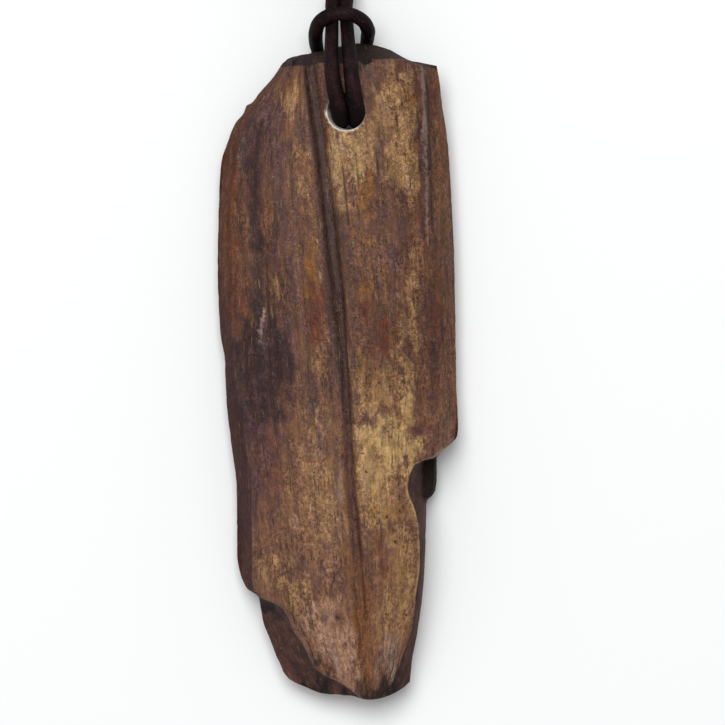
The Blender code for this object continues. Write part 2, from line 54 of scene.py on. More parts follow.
# %% Camera straight above the tooth
VIEW_CENTRE = (2.97, 1.05)
VIEW_WIDTH = 87.0
VIEW_HEIGHT = 5.0                          # the height at which the view has that width
CAMERA_DISTANCE = 900.0
SENSOR_WIDTH = 36.0
CLIP_NEAR, CLIP_FAR = 0.01, 10.0           # metres

lens = bpy.data.cameras.new("camera")
lens.sensor_width = SENSOR_WIDTH
lens.lens = SENSOR_WIDTH * CAMERA_DISTANCE / VIEW_WIDTH
lens.clip_start, lens.clip_end = CLIP_NEAR, CLIP_FAR
camera = bpy.data.objects.new("camera", lens)
camera.location = np.array((*VIEW_CENTRE, VIEW_HEIGHT + CAMERA_DISTANCE)) * MM
bpy.context.collection.objects.link(camera)
bpy.context.scene.camera = camera
print(f"lens {lens.lens:.0f} mm, {CAMERA_DISTANCE:.0f} mm above the tooth")

# %% [markdown]
# ## The route of the cord
# One cord of round leather, 1.5 mm thick, holds the tooth in a lark's head. Its middle goes through
# the hole from the back as a loop, and both halves pass over the top and through that loop. A curve
# object could be bent by hand, but a list of points that a smooth curve passes through is easier to
# measure and to keep clear of the tooth. Heights are above the surface that the tooth lies on.

# %% Smooth lines and soft steps
def ramp(start, end, place):
    """0 before start and 1 after end, with the smooth change 3t^2 - 2t^3 between them."""
    t = np.clip((place - start) / (end - start), 0, 1)
    return t * t * (3 - 2 * t)


def resampled(line, step):
    """The same line with points at even distances, about one step apart."""
    along = np.concatenate([[0], np.cumsum(np.linalg.norm(np.diff(line, axis=0), axis=1))])
    even = np.linspace(0, along[-1], int(round(along[-1] / step)) + 1)
    return np.stack([np.interp(even, along, line[:, k]) for k in range(3)], 1)


def smooth_line(points, samples=24):
    """A curve through all points: for each four neighbours a, b, c, d it follows from b to c the
    cubic whose slopes are half of the way from a to c and half of the way from b to d."""
    p = np.array(points, float)
    p = np.vstack([2 * p[0] - p[1], p, 2 * p[-1] - p[-2]])
    a, b, c, d = p[:-3, None], p[1:-2, None], p[2:-1, None], p[3:, None]
    t = np.linspace(0, 1, samples, endpoint=False)[None, :, None]
    cubic = 0.5 * (
        2 * b + (c - a) * t + (2 * a - 5 * b + 4 * c - d) * t ** 2 + (3 * b - a - 3 * c + d) * t ** 3)
    return np.vstack([cubic.reshape(-1, 3), p[-2:-1]])


print("a soft step, a quarter of the way:", ramp(0, 1, 0.25))

# %% The loop of the lark's head
LOOP = [
    (0.43, 29.86, 5.20), (0.42, 29.86, 4.85), (0.34, 30.22, 3.15), (0.08, 31.40, 1.75),
    (-0.42, 33.20, 1.12), (-1.05, 35.00, 1.18), (-1.65, 36.30, 1.32), (-2.10, 37.40, 1.50),
    (-2.43, 38.55, 2.00), (-2.61, 39.35, 2.95), (-2.66, 39.90, 4.10), (-2.66, 40.30, 5.15),
    (-2.60, 40.80, 6.15), (-2.20, 41.75, 7.30), (-1.10, 42.50, 8.15), (0.47, 42.78, 8.45),
    (2.04, 42.50, 8.15), (3.14, 41.80, 7.35), (3.58, 41.05, 6.25), (3.66, 40.74, 5.05),
    (3.64, 40.60, 3.95), (3.58, 40.18, 2.85), (3.44, 39.35, 1.95), (3.16, 38.15, 1.48),
    (2.84, 36.80, 1.30), (2.50, 35.10, 1.18), (2.30, 33.20, 1.12), (2.26, 31.40, 1.75),
    (2.24, 30.22, 3.15), (2.24, 29.86, 4.85), (2.24, 29.86, 5.20),
]
CORD_STEP = 0.35
loop_line = resampled(smooth_line(LOOP), CORD_STEP)
print(f"loop: {len(loop_line)} points")

# %% The two strands, from inside the hole to the surface beyond the tooth
LEFT_STRAND = [
    (0.42, 29.86, 4.85), (0.43, 29.86, 6.40), (0.42, 30.10, 8.25), (0.24, 31.15, 9.75),
    (-0.18, 33.00, 10.62), (-0.56, 34.95, 10.72), (-0.76, 37.20, 10.27), (-0.74, 38.90, 9.18),
    (-0.70, 40.70, 7.45), (-0.68, 42.60, 5.65), (-0.60, 44.55, 4.10), (0.00, 47.50, 2.05),
    (0.55, 49.90, 1.05), (1.02, 51.85, 0.80), (1.20, 54.20, 0.77), (1.25, 57.50, 0.76),
]
RIGHT_STRAND = [
    (2.24, 29.86, 4.85), (2.25, 29.86, 6.40), (2.28, 30.10, 8.25), (2.26, 31.15, 9.75),
    (1.96, 33.00, 10.62), (1.68, 34.95, 10.72), (1.46, 37.20, 10.27), (1.30, 38.90, 9.18),
    (1.16, 40.70, 7.45), (1.04, 42.60, 5.65), (1.02, 44.55, 4.10), (1.70, 47.50, 2.05),
    (2.42, 49.90, 1.05), (2.70, 52.00, 0.80), (2.78, 54.20, 0.77), (2.80, 57.50, 0.76),
]
print("strands:", len(LEFT_STRAND), "and", len(RIGHT_STRAND), "points")

# %% [markdown]
# ## The coil
# Such a cord is some 70 cm long, and most of it has nothing to do here. It is wound up beyond the
# drilled end, both strands side by side, as one would put it away: two and a half turns outside, one
# on the other, then as many inside, back down to the surface. A real coil doesn't climb like a screw.
# Each turn lies level and steps up a cord's thickness over a short stretch, so heights are sums of
# ramps.

# %% The coil's turns as a pair of strands
COIL_CENTRE = np.array((-8.5, 61.0))
PAIR_OUTER, PAIR_INNER = 10.525, 7.425     # radius of the line midway between both strands
PAIR_HALF = 0.775                          # from that line to each strand
CORD_DIAMETER = 1.5
FLOOR_HEIGHT = 0.76
COIL_TURNS = 5.125
STEPS_UP = ((0.72, 0.90), (1.72, 1.90))    # turns between which the pair climbs one cord
STEPS_DOWN = ((3.26, 3.44), (4.26, 4.44))
MOVE_IN = (2.44, 2.70)                     # turns between which it moves in to the smaller radius
LAST_BEND = 3.4                            # radius of the bend that leads into the knot
LAST_ANGLE = 0.75 * pi
RISE_FROM = 0.55                           # share of that bend after which it rises to the knot
KNOT_AXIS = 2.2                            # height of the knot's middle line
KNOT_LENGTH, TAIL_LENGTH = 5.4, 1.6
TURN_POINTS, BEND_POINTS, TAIL_POINTS = 90, 30, 16


def outwards(angle):
    """Level unit vectors (cos a, sin a) at these angles."""
    return np.stack([np.cos(angle), np.sin(angle)], 1)


def coil_strand(side):
    """One strand of the coil. Its middle is a circle whose radius and height change by ramps of the
    turn; the strand lies PAIR_HALF outside (side 1) or inside (side -1) of it. A bend of smaller
    radius follows, and a straight stretch through the knot to the end of the tail."""
    turn = np.linspace(0, COIL_TURNS, int(COIL_TURNS * TURN_POINTS))
    level = sum(ramp(*step, turn) for step in STEPS_UP) - sum(ramp(*step, turn) for step in STEPS_DOWN)
    radius = PAIR_OUTER - (PAIR_OUTER - PAIR_INNER) * ramp(*MOVE_IN, turn)
    angle = 2 * pi * turn
    outward = outwards(angle)
    flat = COIL_CENTRE + outward * (radius + side * PAIR_HALF)[:, None]
    wound = np.column_stack([flat, FLOOR_HEIGHT + CORD_DIAMETER * level])
    bend_centre = COIL_CENTRE + outward[-1] * (PAIR_INNER - LAST_BEND)
    bend = np.linspace(0, LAST_ANGLE, BEND_POINTS)[1:]
    outward = outwards(angle[-1] + bend)
    rise = (KNOT_AXIS - FLOOR_HEIGHT) * ramp(RISE_FROM * LAST_ANGLE, LAST_ANGLE, bend)
    bent = np.column_stack([bend_centre + outward * (LAST_BEND + side * PAIR_HALF), FLOOR_HEIGHT + rise])
    ahead = np.array([-outward[-1][1], outward[-1][0], 0])
    tail = bent[-1] + np.linspace(0, KNOT_LENGTH + TAIL_LENGTH, TAIL_POINTS)[1:, None] * ahead
    return np.vstack([wound, bent, tail])


left_line = resampled(np.vstack([smooth_line(LEFT_STRAND), coil_strand(-1)]), CORD_STEP)
right_line = resampled(np.vstack([smooth_line(RIGHT_STRAND), coil_strand(1)]), CORD_STEP)


def length_of(line):
    """Length of a line of points, in metres."""
    return float(np.linalg.norm(np.diff(line, axis=0), axis=1).sum()) * MM


apart = np.linalg.norm(left_line[:, None] - right_line[None], axis=2).min()
print(f"left {length_of(left_line):.3f} m, right {length_of(right_line):.3f} m, {apart:.2f} mm apart")

# %% [markdown]
# ## Round leather
# A cord is one small circle carried along its line. The circle's two axes are carried from point to
# point without twist, so that the grain runs straight along the leather. A curve with a bevel would do
# too, but a mesh can swell where the cord is bent and drawn tight, and has its own UV map: U once
# round the cord, V along it in centimetres. It also keeps how far each point looks up, which the
# leather uses to paint shade on its flanks. Both ends are drawn in a little and closed.

# %% Tubes along a line
TUBE_SIDES = 20
END_SHARE = 0.8                            # radius of the closed ends, as a share of the full one
FIRST_SIDE = (0.3, 0.5, 0.81)              # any direction that no cord starts along
CENTIMETRE = 10.0


def carried_axes(line):
    """Two unit axes across each point of a line. The first is the last point's axis, less the part
    that points along the new direction; the second is the direction crossed with the first."""
    ahead = np.gradient(line, axis=0)
    ahead /= np.linalg.norm(ahead, axis=1)[:, None]
    first = np.zeros(line.shape)
    axis = np.cross(ahead[0], FIRST_SIDE)
    for i, direction in enumerate(ahead):
        axis = axis - direction * (axis @ direction)
        axis /= np.linalg.norm(axis)
        first[i] = axis
    return first, np.cross(ahead, first)


def mesh_piece(name, points, faces, uv=None):
    """A smooth mesh piece in metres from points in millimetres, riding on the part's one body."""
    mesh = bpy.data.meshes.new(name)
    mesh.from_pydata(np.asarray(points) * MM, [], faces)
    if uv is not None:
        mesh.uv_layers.new(name="route").data.foreach_set("uv", uv.ravel())
    mesh.shade_smooth()
    piece = bpy.data.objects.new(name, mesh)
    bpy.context.collection.objects.link(piece)
    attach(piece, "root")
    return piece


def set_attribute(mesh, name, values):
    """Stores one number, or three, for each point of a mesh."""
    kind, field = ("FLOAT", "value") if values.ndim == 1 else ("FLOAT_VECTOR", "vector")
    mesh.attributes.new(name, kind, "POINT").data.foreach_set(field, values.ravel().astype(np.float32))


def leather_tube(name, line, radius):
    """A circle of that radius carried along the line. Each point is the line's point plus radius
    times (cos a first axis + sin a second axis), and upward is the height of that direction."""
    first, second = carried_axes(line)
    radius = np.broadcast_to(radius, len(line)).copy()
    radius[[0, -1]] *= END_SHARE
    angle = np.linspace(0, 2 * pi, TUBE_SIDES, endpoint=False)
    around = first[:, None] * np.cos(angle)[:, None] + second[:, None] * np.sin(angle)[:, None]
    points = (line[:, None] + around * radius[:, None, None]).reshape(-1, 3)
    ring, side = np.meshgrid(np.arange(len(line) - 1), np.arange(TUBE_SIDES), indexing="ij")
    here, beside = ring * TUBE_SIDES + side, ring * TUBE_SIDES + (side + 1) % TUBE_SIDES
    quads = np.stack([here, beside, beside + TUBE_SIDES, here + TUBE_SIDES], -1).reshape(-1, 4)
    last = len(points) - TUBE_SIDES
    caps = [list(range(TUBE_SIDES))[::-1], list(range(last, len(points)))]
    around_uv = np.stack([side, side + 1, side + 1, side], -1) / TUBE_SIDES
    along_uv = np.stack([ring, ring, ring + 1, ring + 1], -1) * CORD_STEP / CENTIMETRE
    walls_uv = np.stack([around_uv, along_uv], -1).reshape(-1, 2)
    uv = np.concatenate([walls_uv, np.zeros((2 * TUBE_SIDES, 2))])
    tube = mesh_piece(name, points, quads.tolist() + caps, uv)
    set_attribute(tube.data, "upward", around[..., 2].ravel())
    return tube


print(f"a tube has {TUBE_SIDES} sides and a ring every {CORD_STEP} mm")

# %% How thick the leather is along the cord
SWELLINGS = (0.9, 2.3, 5.1)                # millimetres of cord for each radian of a wave
SWELLING_HEIGHT = 0.01                     # share of the radius
PRESSED = 0.05                             # share by which a strand is thicker on the front
PRESSED_MORE = [                           # a further share, and the two y between which it grows
    (0.12, 42.8, 44.2),                    # above the loop, where the strands touch
    (0.09, 41.0, 37.5),                    # over the edge of the top end
    (0.20, 37.5, 32.0),                    # towards the hole
]
ROUND_BEYOND = (54.0, 47.0)                # y between which it is round again, beyond the tooth
ROUND_INSIDE = (5.6, 7.8)                  # and heights, inside the hole
TOOTH_END = 40.0


def swelling(line, seed):
    """Radius of hand-cut leather: half its diameter, give or take 3% in three slow sine waves along
    it, which start at random phases."""
    rng = np.random.default_rng(seed)
    along = np.arange(len(line)) * CORD_STEP
    waves = sum(np.sin(along / length + rng.uniform(0, 6.3)) for length in SWELLINGS)
    return CORD_DIAMETER / 2 * (1 + SWELLING_HEIGHT * waves)


def drawn_over(line):
    """A strand's size where it is drawn over the front and pressed flat: 1 plus the shares above,
    each times its ramp along y, and back to 1 beyond the tooth and inside the hole."""
    _, y, z = line.T
    thicker = PRESSED
    for share, start, end in PRESSED_MORE:
        thicker = thicker + share * ramp(start, end, y)
    return 1 + thicker * ramp(*ROUND_BEYOND, y) * np.where(y < TOOTH_END, ramp(*ROUND_INSIDE, z), 1)


print(f"a strand is drawn up to {drawn_over(left_line).max():.2f} times as thick")

# %% The three stretches of the cord
LOOP_PRESSED = 0.15                        # share by which the loop is thicker round the strands
LOOP_ABOVE, LOOP_BEYOND = (1.4, 3.2), (29.0, 34.0)     # heights, and y, between which it grows
_, loop_y, loop_z = loop_line.T
loop_size = 1 + LOOP_PRESSED * ramp(*LOOP_ABOVE, loop_z) * ramp(*LOOP_BEYOND, loop_y)
cord_loop = leather_tube("cord_loop", loop_line, swelling(loop_line, 1) * loop_size)
cord_left = leather_tube("cord_left", left_line, swelling(left_line, 2) * drawn_over(left_line))
cord_right = leather_tube("cord_right", right_line, swelling(right_line, 3) * drawn_over(right_line))
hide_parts("cord")
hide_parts("cord_coil")
print("cord pieces:", len(cord_left.data.polygons), len(cord_right.data.polygons), "faces")

# %% [markdown]
# ## The knot of the two ends
# The two ends lie side by side, and a short piece of the same cord is wrapped round both: a barrel
# knot. Its wraps are a screw line on an oval, since two cords side by side are wider than they are
# high. The first and last quarter turn sink in under their neighbours, where a real end is tucked.

# %% Wraps of the barrel knot
KNOT_START = (-9.05, 63.85)
WRAP_TURNS = 3.5
WRAP_HALF_WIDTH, WRAP_HALF_HEIGHT = 2.10, 1.50
WRAP_RADIUS = 0.70
WRAP_POINTS = 260
TUCK_SHARE, TUCK_TURN = 0.35, 0.25         # how far the ends sink in, and over how much of a turn

turn = np.linspace(0, WRAP_TURNS, WRAP_POINTS)
sunk = ramp(TUCK_TURN, 0, turn) + ramp(WRAP_TURNS - TUCK_TURN, WRAP_TURNS, turn)
tuck = 1 - TUCK_SHARE * sunk
wrap_line = np.stack([
    KNOT_START[0] + WRAP_HALF_WIDTH * tuck * np.cos(2 * pi * turn),
    KNOT_START[1] - WRAP_RADIUS - (KNOT_LENGTH - 2 * WRAP_RADIUS) * turn / WRAP_TURNS,
    KNOT_AXIS + WRAP_HALF_HEIGHT * tuck * np.sin(2 * pi * turn)], 1)
wrap_line = resampled(wrap_line, CORD_STEP)
barrel_knot = leather_tube("barrel_knot", wrap_line, WRAP_RADIUS)
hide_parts("end_knot")

print(f"wraps: {length_of(wrap_line):.3f} m of cord")

# %% [markdown]
# ## The outline of the tooth
# A tooth has no straight edges, so its outline, the edges of its light outer layer and its heights
# are tables of a few measured points, and a smooth curve runs through each. Guides of this kind are
# easy to correct one at a time. The curve is the monotone cubic, which never swings past its points.

# %% Guides: smooth curves through measured points
NOISE_CELLS = 256


def guide(table):
    """The curve through (station, value) pairs. Each tangent is the harmonic mean of its two slopes,
    or 0 where they change sign, so the curve has no bulges that the points don't have."""
    station, value = np.array(sorted(table)).T
    step = np.diff(station)
    slope = np.diff(value) / step
    same = slope[:-1] * slope[1:] > 0
    total = np.where(same, slope[:-1] + slope[1:], 1.0)
    inner = np.where(same, 2 * slope[:-1] * slope[1:] / total, 0.0)
    tangent = np.concatenate([slope[:1], inner, slope[-1:]])

    def at(place):
        place = np.clip(place, station[0], station[-1])
        i = np.clip(np.searchsorted(station, place) - 1, 0, len(step) - 1)
        t = (place - station[i]) / step[i]
        ends = value[i] * (1 + 2 * t) * (1 - t) ** 2 + value[i + 1] * t * t * (3 - 2 * t)
        return ends + (tangent[i] * t * (1 - t) ** 2 - tangent[i + 1] * t * t * (1 - t)) * step[i]

    return at


def soft_noise(u, v, seed):
    """Smooth random heights from -1 to 1: random values at the corners of a square grid, blended
    between them by 3t^2 - 2t^3 in both directions."""
    values = np.random.default_rng(seed).uniform(-1, 1, (NOISE_CELLS, NOISE_CELLS))
    cell_u, cell_v = np.floor(u).astype(int), np.floor(v).astype(int)
    s, t = u - cell_u, v - cell_v
    s, t = s * s * (3 - 2 * s), t * t * (3 - 2 * t)

    def corner(a, b):
        return values[(cell_u + a) % NOISE_CELLS, (cell_v + b) % NOISE_CELLS]

    near = corner(0, 0) * (1 - s) + corner(1, 0) * s
    far = corner(0, 1) * (1 - s) + corner(1, 1) * s
    return near * (1 - t) + far * t


def layered_noise(layers, u, v):
    """The sum of soft noises over (u, v), from rows of height, size along u and along v, and seed."""
    total = 0.0
    for height, size_u, size_v, seed in layers:
        total = total + height * soft_noise(u / size_u, v / size_v, seed)
    return total


print("a guide from (0, 0) to (1, 1), halfway:", guide([(0, 0), (1, 1)])(0.5))

# %% The two sides as (y, x) and the two ends as (x, y)
LEFT_SIDE = [
    (37.10, -6.55), (35.05, -8.00), (33.40, -9.45), (32.25, -10.35), (32.00, -10.90),
    (31.00, -11.35), (29.85, -12.30), (27.40, -13.30), (25.00, -14.00), (21.75, -14.25),
    (12.15, -14.45), (4.95, -14.15), (1.35, -13.60), (-3.45, -13.40), (-7.65, -12.95),
    (-14.85, -12.15), (-22.05, -12.10), (-24.10, -11.80), (-26.15, -10.90), (-27.10, -9.50),
    (-27.80, -9.40), (-30.10, -8.95), (-32.25, -8.15), (-34.40, -7.30), (-36.10, -6.55),
]
RIGHT_SIDE = [
    (36.65, 11.90), (34.35, 12.25), (31.95, 12.55), (27.15, 13.25), (19.95, 13.70),
    (13.35, 14.00), (-1.05, 14.25), (-7.05, 14.45), (-7.75, 14.35), (-8.35, 13.95),
    (-8.90, 13.35), (-9.45, 12.65), (-10.05, 12.10), (-10.40, 11.90), (-13.05, 11.90),
    (-13.90, 11.80), (-14.60, 11.60), (-15.10, 11.25), (-15.40, 10.85), (-16.05, 10.65),
    (-20.85, 10.55), (-25.05, 10.35), (-28.40, 10.00), (-32.00, 9.45), (-34.65, 8.95),
    (-37.30, 8.65),
]
TOP_END = [
    (-6.55, 37.10), (-5.95, 37.60), (-4.55, 38.00), (-2.15, 38.45), (0.25, 39.05),
    (2.05, 39.40), (3.85, 39.30), (6.25, 38.60), (8.65, 37.30), (9.85, 37.05), (11.90, 36.65),
]
BOTTOM_END = [
    (-6.55, -36.10), (-5.75, -37.05), (-3.95, -37.90), (-1.90, -38.70), (1.45, -38.95),
    (3.65, -39.40), (5.05, -39.25), (6.75, -38.70), (7.95, -37.95), (8.65, -37.30),
]
print("outline:", sum(map(len, (LEFT_SIDE, RIGHT_SIDE, TOP_END, BOTTOM_END))), "measured points")

# %% Edges of the light outer layer, broken away at the lower left and in the notch
LAYER_TOP = [
    (-6.55, 36.55), (-3.10, 36.45), (-1.90, 36.80), (0.85, 36.75), (2.45, 37.00),
    (3.25, 36.50), (4.70, 37.25), (7.45, 37.30), (8.65, 37.00), (11.90, 36.25),
]
LAYER_LEFT = [
    (36.65, -5.50), (32.05, -9.10), (28.95, -11.15), (25.35, -12.20), (20.55, -12.55),
    (8.55, -12.55), (-3.45, -11.75), (-8.25, -10.90), (-15.45, -10.40), (-24.70, -10.05),
    (-26.00, -9.80), (-27.10, -9.35), (-27.70, -7.75), (-28.65, -6.40), (-31.05, -5.25),
    (-33.80, -3.55), (-35.15, -3.05), (-36.45, -1.55), (-37.55, 0.65), (-39.10, 2.65),
]
LAYER_RIGHT = [
    (36.65, 11.05), (27.75, 11.80), (20.55, 12.25), (1.35, 12.65), (-3.45, 13.00),
    (-6.45, 13.60), (-7.75, 14.20), (-8.35, 13.85), (-8.90, 13.25), (-9.45, 12.50),
    (-10.05, 11.95), (-10.35, 11.55), (-10.55, 10.70), (-10.85, 9.65), (-11.35, 9.05),
    (-12.80, 8.45), (-13.75, 8.30), (-14.60, 8.45), (-16.90, 9.25), (-18.45, 9.55),
    (-22.65, 9.75), (-27.45, 9.25), (-31.30, 8.75), (-33.45, 7.95), (-35.60, 7.25),
    (-36.95, 6.75), (-38.75, 5.05),
]
print("layer:", sum(map(len, (LAYER_TOP, LAYER_LEFT, LAYER_RIGHT))), "measured points")

# %% Small chips along every edge
COARSE_CHIP, FINE_CHIP = 0.9, 0.35         # millimetres


def chipped(table, size, seed):
    """A guide with soft noise on it: coarse chips of that size, and fine ones half as deep. Each is
    read along its own row of one noise."""
    smooth = guide(table)

    def at(place):
        coarse = soft_noise(place / COARSE_CHIP, np.full(np.shape(place), 3.5), seed)
        fine = soft_noise(place / FINE_CHIP, np.full(np.shape(place), 7.5), seed)
        return smooth(place) + size * coarse + size / 2 * fine

    return at


left_side, right_side = chipped(LEFT_SIDE, 0.035, 11), chipped(RIGHT_SIDE, 0.03, 12)
top_end, bottom_end = chipped(TOP_END, 0.05, 13), chipped(BOTTOM_END, 0.05, 14)
layer_top = chipped(LAYER_TOP, 0.09, 15)
layer_left, layer_right = chipped(LAYER_LEFT, 0.05, 16), chipped(LAYER_RIGHT, 0.05, 17)
print(f"tooth: {TOP_END[5][1] - BOTTOM_END[5][1]:.1f} mm long")

# %% [markdown]
# ## The heights of the front and the back
# Seen from its end the tooth is a low arch. A groove runs down the front from the drilled end to the
# tip, and a shallow valley lies left of it. Where the outer layer broke off, the surface drops over a
# small cliff and slopes to the rim, the widest line round the body. Every height here is a function
# of the place (x, y), so front and back can share one lattice of points. Sculpting would be freer,
# but couldn't be corrected by changing one number.

# %% Heights: arch, groove, valley, rim and back
WHOLE_LEFT = [
    (37.10, -7.55), (32.55, -11.15), (28.95, -13.15), (16.95, -14.35), (4.95, -14.15),
    (-14.85, -12.20), (-27.45, -11.15), (-36.10, -7.90), (-39.45, -5.75),
]
WHOLE_RIGHT = [
    (37.10, 12.25), (27.15, 13.25), (13.35, 14.00), (-7.05, 14.35), (-15.45, 14.05),
    (-22.65, 13.35), (-29.85, 12.05), (-39.45, 8.05),
]
CREST_HEIGHT = [
    (39.30, 8.7), (37.10, 9.1), (26.50, 9.8), (8.50, 10.8), (-9.50, 10.6), (-22.60, 9.6),
    (-32.20, 7.9), (-39.40, 5.7),
]
GROOVE_LEFT = [
    (37.10, -4.15), (32.55, -3.55), (20.55, -2.05), (8.55, -0.80), (-3.45, 0.40),
    (-8.25, 0.25), (-20.25, 0.25), (-25.05, 0.75), (-29.85, 2.05), (-38.25, 2.90),
]
GROOVE_FLOOR = [
    (37.10, -3.60), (26.55, -2.15), (14.55, -0.85), (7.35, 0.30), (-3.45, 1.10),
    (-15.45, 1.75), (-20.25, 2.35), (-29.85, 2.90), (-38.25, 3.65),
]
GROOVE_RIGHT = [
    (37.10, -2.60), (26.55, -1.05), (14.55, 0.25), (2.55, 1.25), (-8.25, 1.90),
    (-15.45, 2.45), (-25.05, 3.15), (-33.45, 4.25), (-38.25, 4.45),
]
GROOVE_DEPTH = [
    (37.10, 0.55), (32.00, 0.80), (10.00, 0.80), (3.00, 0.50), (-6.00, 0.45),
    (-12.00, 0.75), (-24.00, 0.90), (-32.00, 0.60), (-39.00, 0.35),
]
VALLEY_LINE = [(31.35, -11.35), (20.55, -9.95), (4.95, -8.35), (-3.45, -8.15)]
VALLEY_DEPTH = [(33.0, 0.0), (24.0, 0.45), (0.0, 0.55), (-8.0, 0.15), (-12.0, 0.0)]
RIM_LEFT = [(37.10, 3.6), (30.0, 3.0), (20.0, 2.8), (-25.0, 2.7), (-36.10, 3.2)]
RIM_RIGHT = [
    (36.65, 5.0), (33.0, 3.8), (25.0, 3.0), (-5.0, 3.2), (-8.0, 4.2), (-10.0, 4.0),
    (-10.6, 2.4), (-15.0, 2.4), (-16.5, 2.9), (-33.0, 3.0), (-37.30, 3.6),
]
RIM_TOP = [(-6.55, 3.6), (-2.0, 3.5), (4.0, 3.5), (7.5, 4.2), (9.5, 5.4), (11.90, 5.0)]
RIM_BOTTOM = [(-6.55, 3.2), (-2.0, 3.7), (1.5, 4.6), (3.65, 5.2), (6.0, 4.8), (8.65, 3.6)]
BACK_RISE = [
    (39.3, 3.3), (37.1, 3.2), (33.6, 2.8), (30.9, 2.35), (29.0, 1.75), (26.4, 0.85),
    (24.0, 0.25), (21.5, 0.0), (-39.4, 0.0),
]
whole_left, whole_right, crest_height = guide(WHOLE_LEFT), guide(WHOLE_RIGHT), guide(CREST_HEIGHT)
groove_left, groove_floor, groove_right = guide(GROOVE_LEFT), guide(GROOVE_FLOOR), guide(GROOVE_RIGHT)
groove_depth, valley_line, valley_depth = guide(GROOVE_DEPTH), guide(VALLEY_LINE), guide(VALLEY_DEPTH)
rim_left, rim_right = guide(RIM_LEFT), guide(RIM_RIGHT)
rim_top, rim_bottom, back_rise = guide(RIM_TOP), guide(RIM_BOTTOM), guide(BACK_RISE)
print(f"at y = 0: crest {crest_height(0.0):.1f} mm high, groove {groove_depth(0.0):.2f} mm deep")

# %% Distance to the outline and to the edge of the layer
def closed_line(left, right, top, bottom, foot_left, foot_right, count=200):
    """A closed outline, as points, from two sides x(y), which end at their feet, and two ends y(x)."""
    y_left = np.linspace(LEFT_SIDE[0][0], foot_left, count)
    y_right = np.linspace(foot_right, RIGHT_SIDE[0][0], count)
    x_bottom = np.linspace(left(y_left[-1:])[0], right(y_right[:1])[0], count)
    x_top = np.linspace(right(y_right[-1:])[0], left(y_left[:1])[0], count)
    return np.concatenate([
        np.stack([left(y_left), y_left], 1), np.stack([x_bottom, bottom(x_bottom)], 1),
        np.stack([right(y_right), y_right], 1), np.stack([x_top, top(x_top)], 1)])


def distance(x, y, line, closed=True):
    """Distance of each point to the nearest stretch of a line: the foot of the perpendicular on each
    stretch, held between its two ends, and the least of all these distances."""
    nearest = np.full(x.shape, np.inf)
    ends = np.roll(line, -1, axis=0) if closed else line[1:]
    for (ax, ay), (bx, by) in zip(line, ends):
        run = max((bx - ax) ** 2 + (by - ay) ** 2, 1e-9)
        t = np.clip(((x - ax) * (bx - ax) + (y - ay) * (by - ay)) / run, 0, 1)
        nearest = np.minimum(nearest, np.hypot(x - ax - t * (bx - ax), y - ay - t * (by - ay)))
    return nearest


outline = closed_line(
    left_side, right_side, top_end, bottom_end, LEFT_SIDE[-1][0], RIGHT_SIDE[-1][0])
layer_line = closed_line(
    layer_left, layer_right, layer_top, bottom_end, LAYER_LEFT[-1][0], LAYER_RIGHT[-1][0])


def layer_depth(x, y):
    """How far inside the light layer a point is; negative where the layer is gone."""
    inside = (x > layer_left(y)) & (x < layer_right(y)) & (y < layer_top(x))
    return np.where(inside, 1, -1) * distance(x, y, layer_line)


def grain_across(x, y):
    """A coordinate that runs with the fibres: -14 on the left side, 0 in the groove, 12 on the right."""
    left, middle, right = whole_left(y), groove_floor(y), whole_right(y)
    return np.where(x < middle, 14 * (x - middle) / (middle - left), 12 * (x - middle) / (right - middle))


middle_x, middle_y = np.zeros(1), np.zeros(1)
print(f"the layer's edge is {layer_depth(middle_x, middle_y)[0]:.1f} mm from the middle")

# %% Fine relief: fibres, laminae and a bruise
FIBRE_RELIEF = [                           # height, size across the grain and along it, and seed
    (0.070, 1.5, 14, 21), (0.035, 0.55, 6, 22), (0.020, 0.3, 1.6, 23),
]
TORN_RELIEF = [(0.13, 1.3, 1.7, 24), (0.07, 0.45, 0.6, 25)]
TORN_FADE = (0.1, -0.4)                    # depths in the layer between which the torn relief begins
BRUISE = (9.9, -7.10, 1.65, 0.62)          # centre x and y, half width and half height of a dent
BRUISE_DEPTH = 0.22
BRUISE_BOWL = (1.05, 0.55)                 # shares of its size between which it deepens
LAMINA_EDGES = [                           # thin lines, raised or sunk: points, width, height
    ([(10.05, 36.9), (10.45, 29.0), (10.75, 20.0), (10.85, 15.0)], 0.20, 0.16),
    ([(4.35, 30.0), (4.75, 25.5), (4.95, 20.0), (5.1, 14.0)], 0.10, -0.06),
    ([(-8.5, 16.0), (-8.2, 5.0), (-8.1, -4.0)], 0.16, -0.10),
    ([(-6.05, -14.0), (-6.0, -19.0), (-6.3, -24.0)], 0.14, -0.05),
    ([(-10.6, -9.5), (-10.45, -16.0), (-10.3, -24.5)], 0.12, -0.08),
    ([(0.15, -11.0), (0.2, -16.0), (0.5, -21.5), (1.0, -27.0)], 0.12, 0.06),
]
LAMINA_BREAKS = [(1, 3, 2.2, 26)]          # the noise that lets them come and go
LAMINA_LIFT, LAMINA_SHOWN = 0.6, (-0.2, 0.8)   # added to it, and the sums between which they grow


def from_bruise(x, y):
    """Distance from the bruise's centre, as a share of its half width and half height."""
    return np.hypot((x - BRUISE[0]) / BRUISE[2], (y - BRUISE[1]) / BRUISE[3])


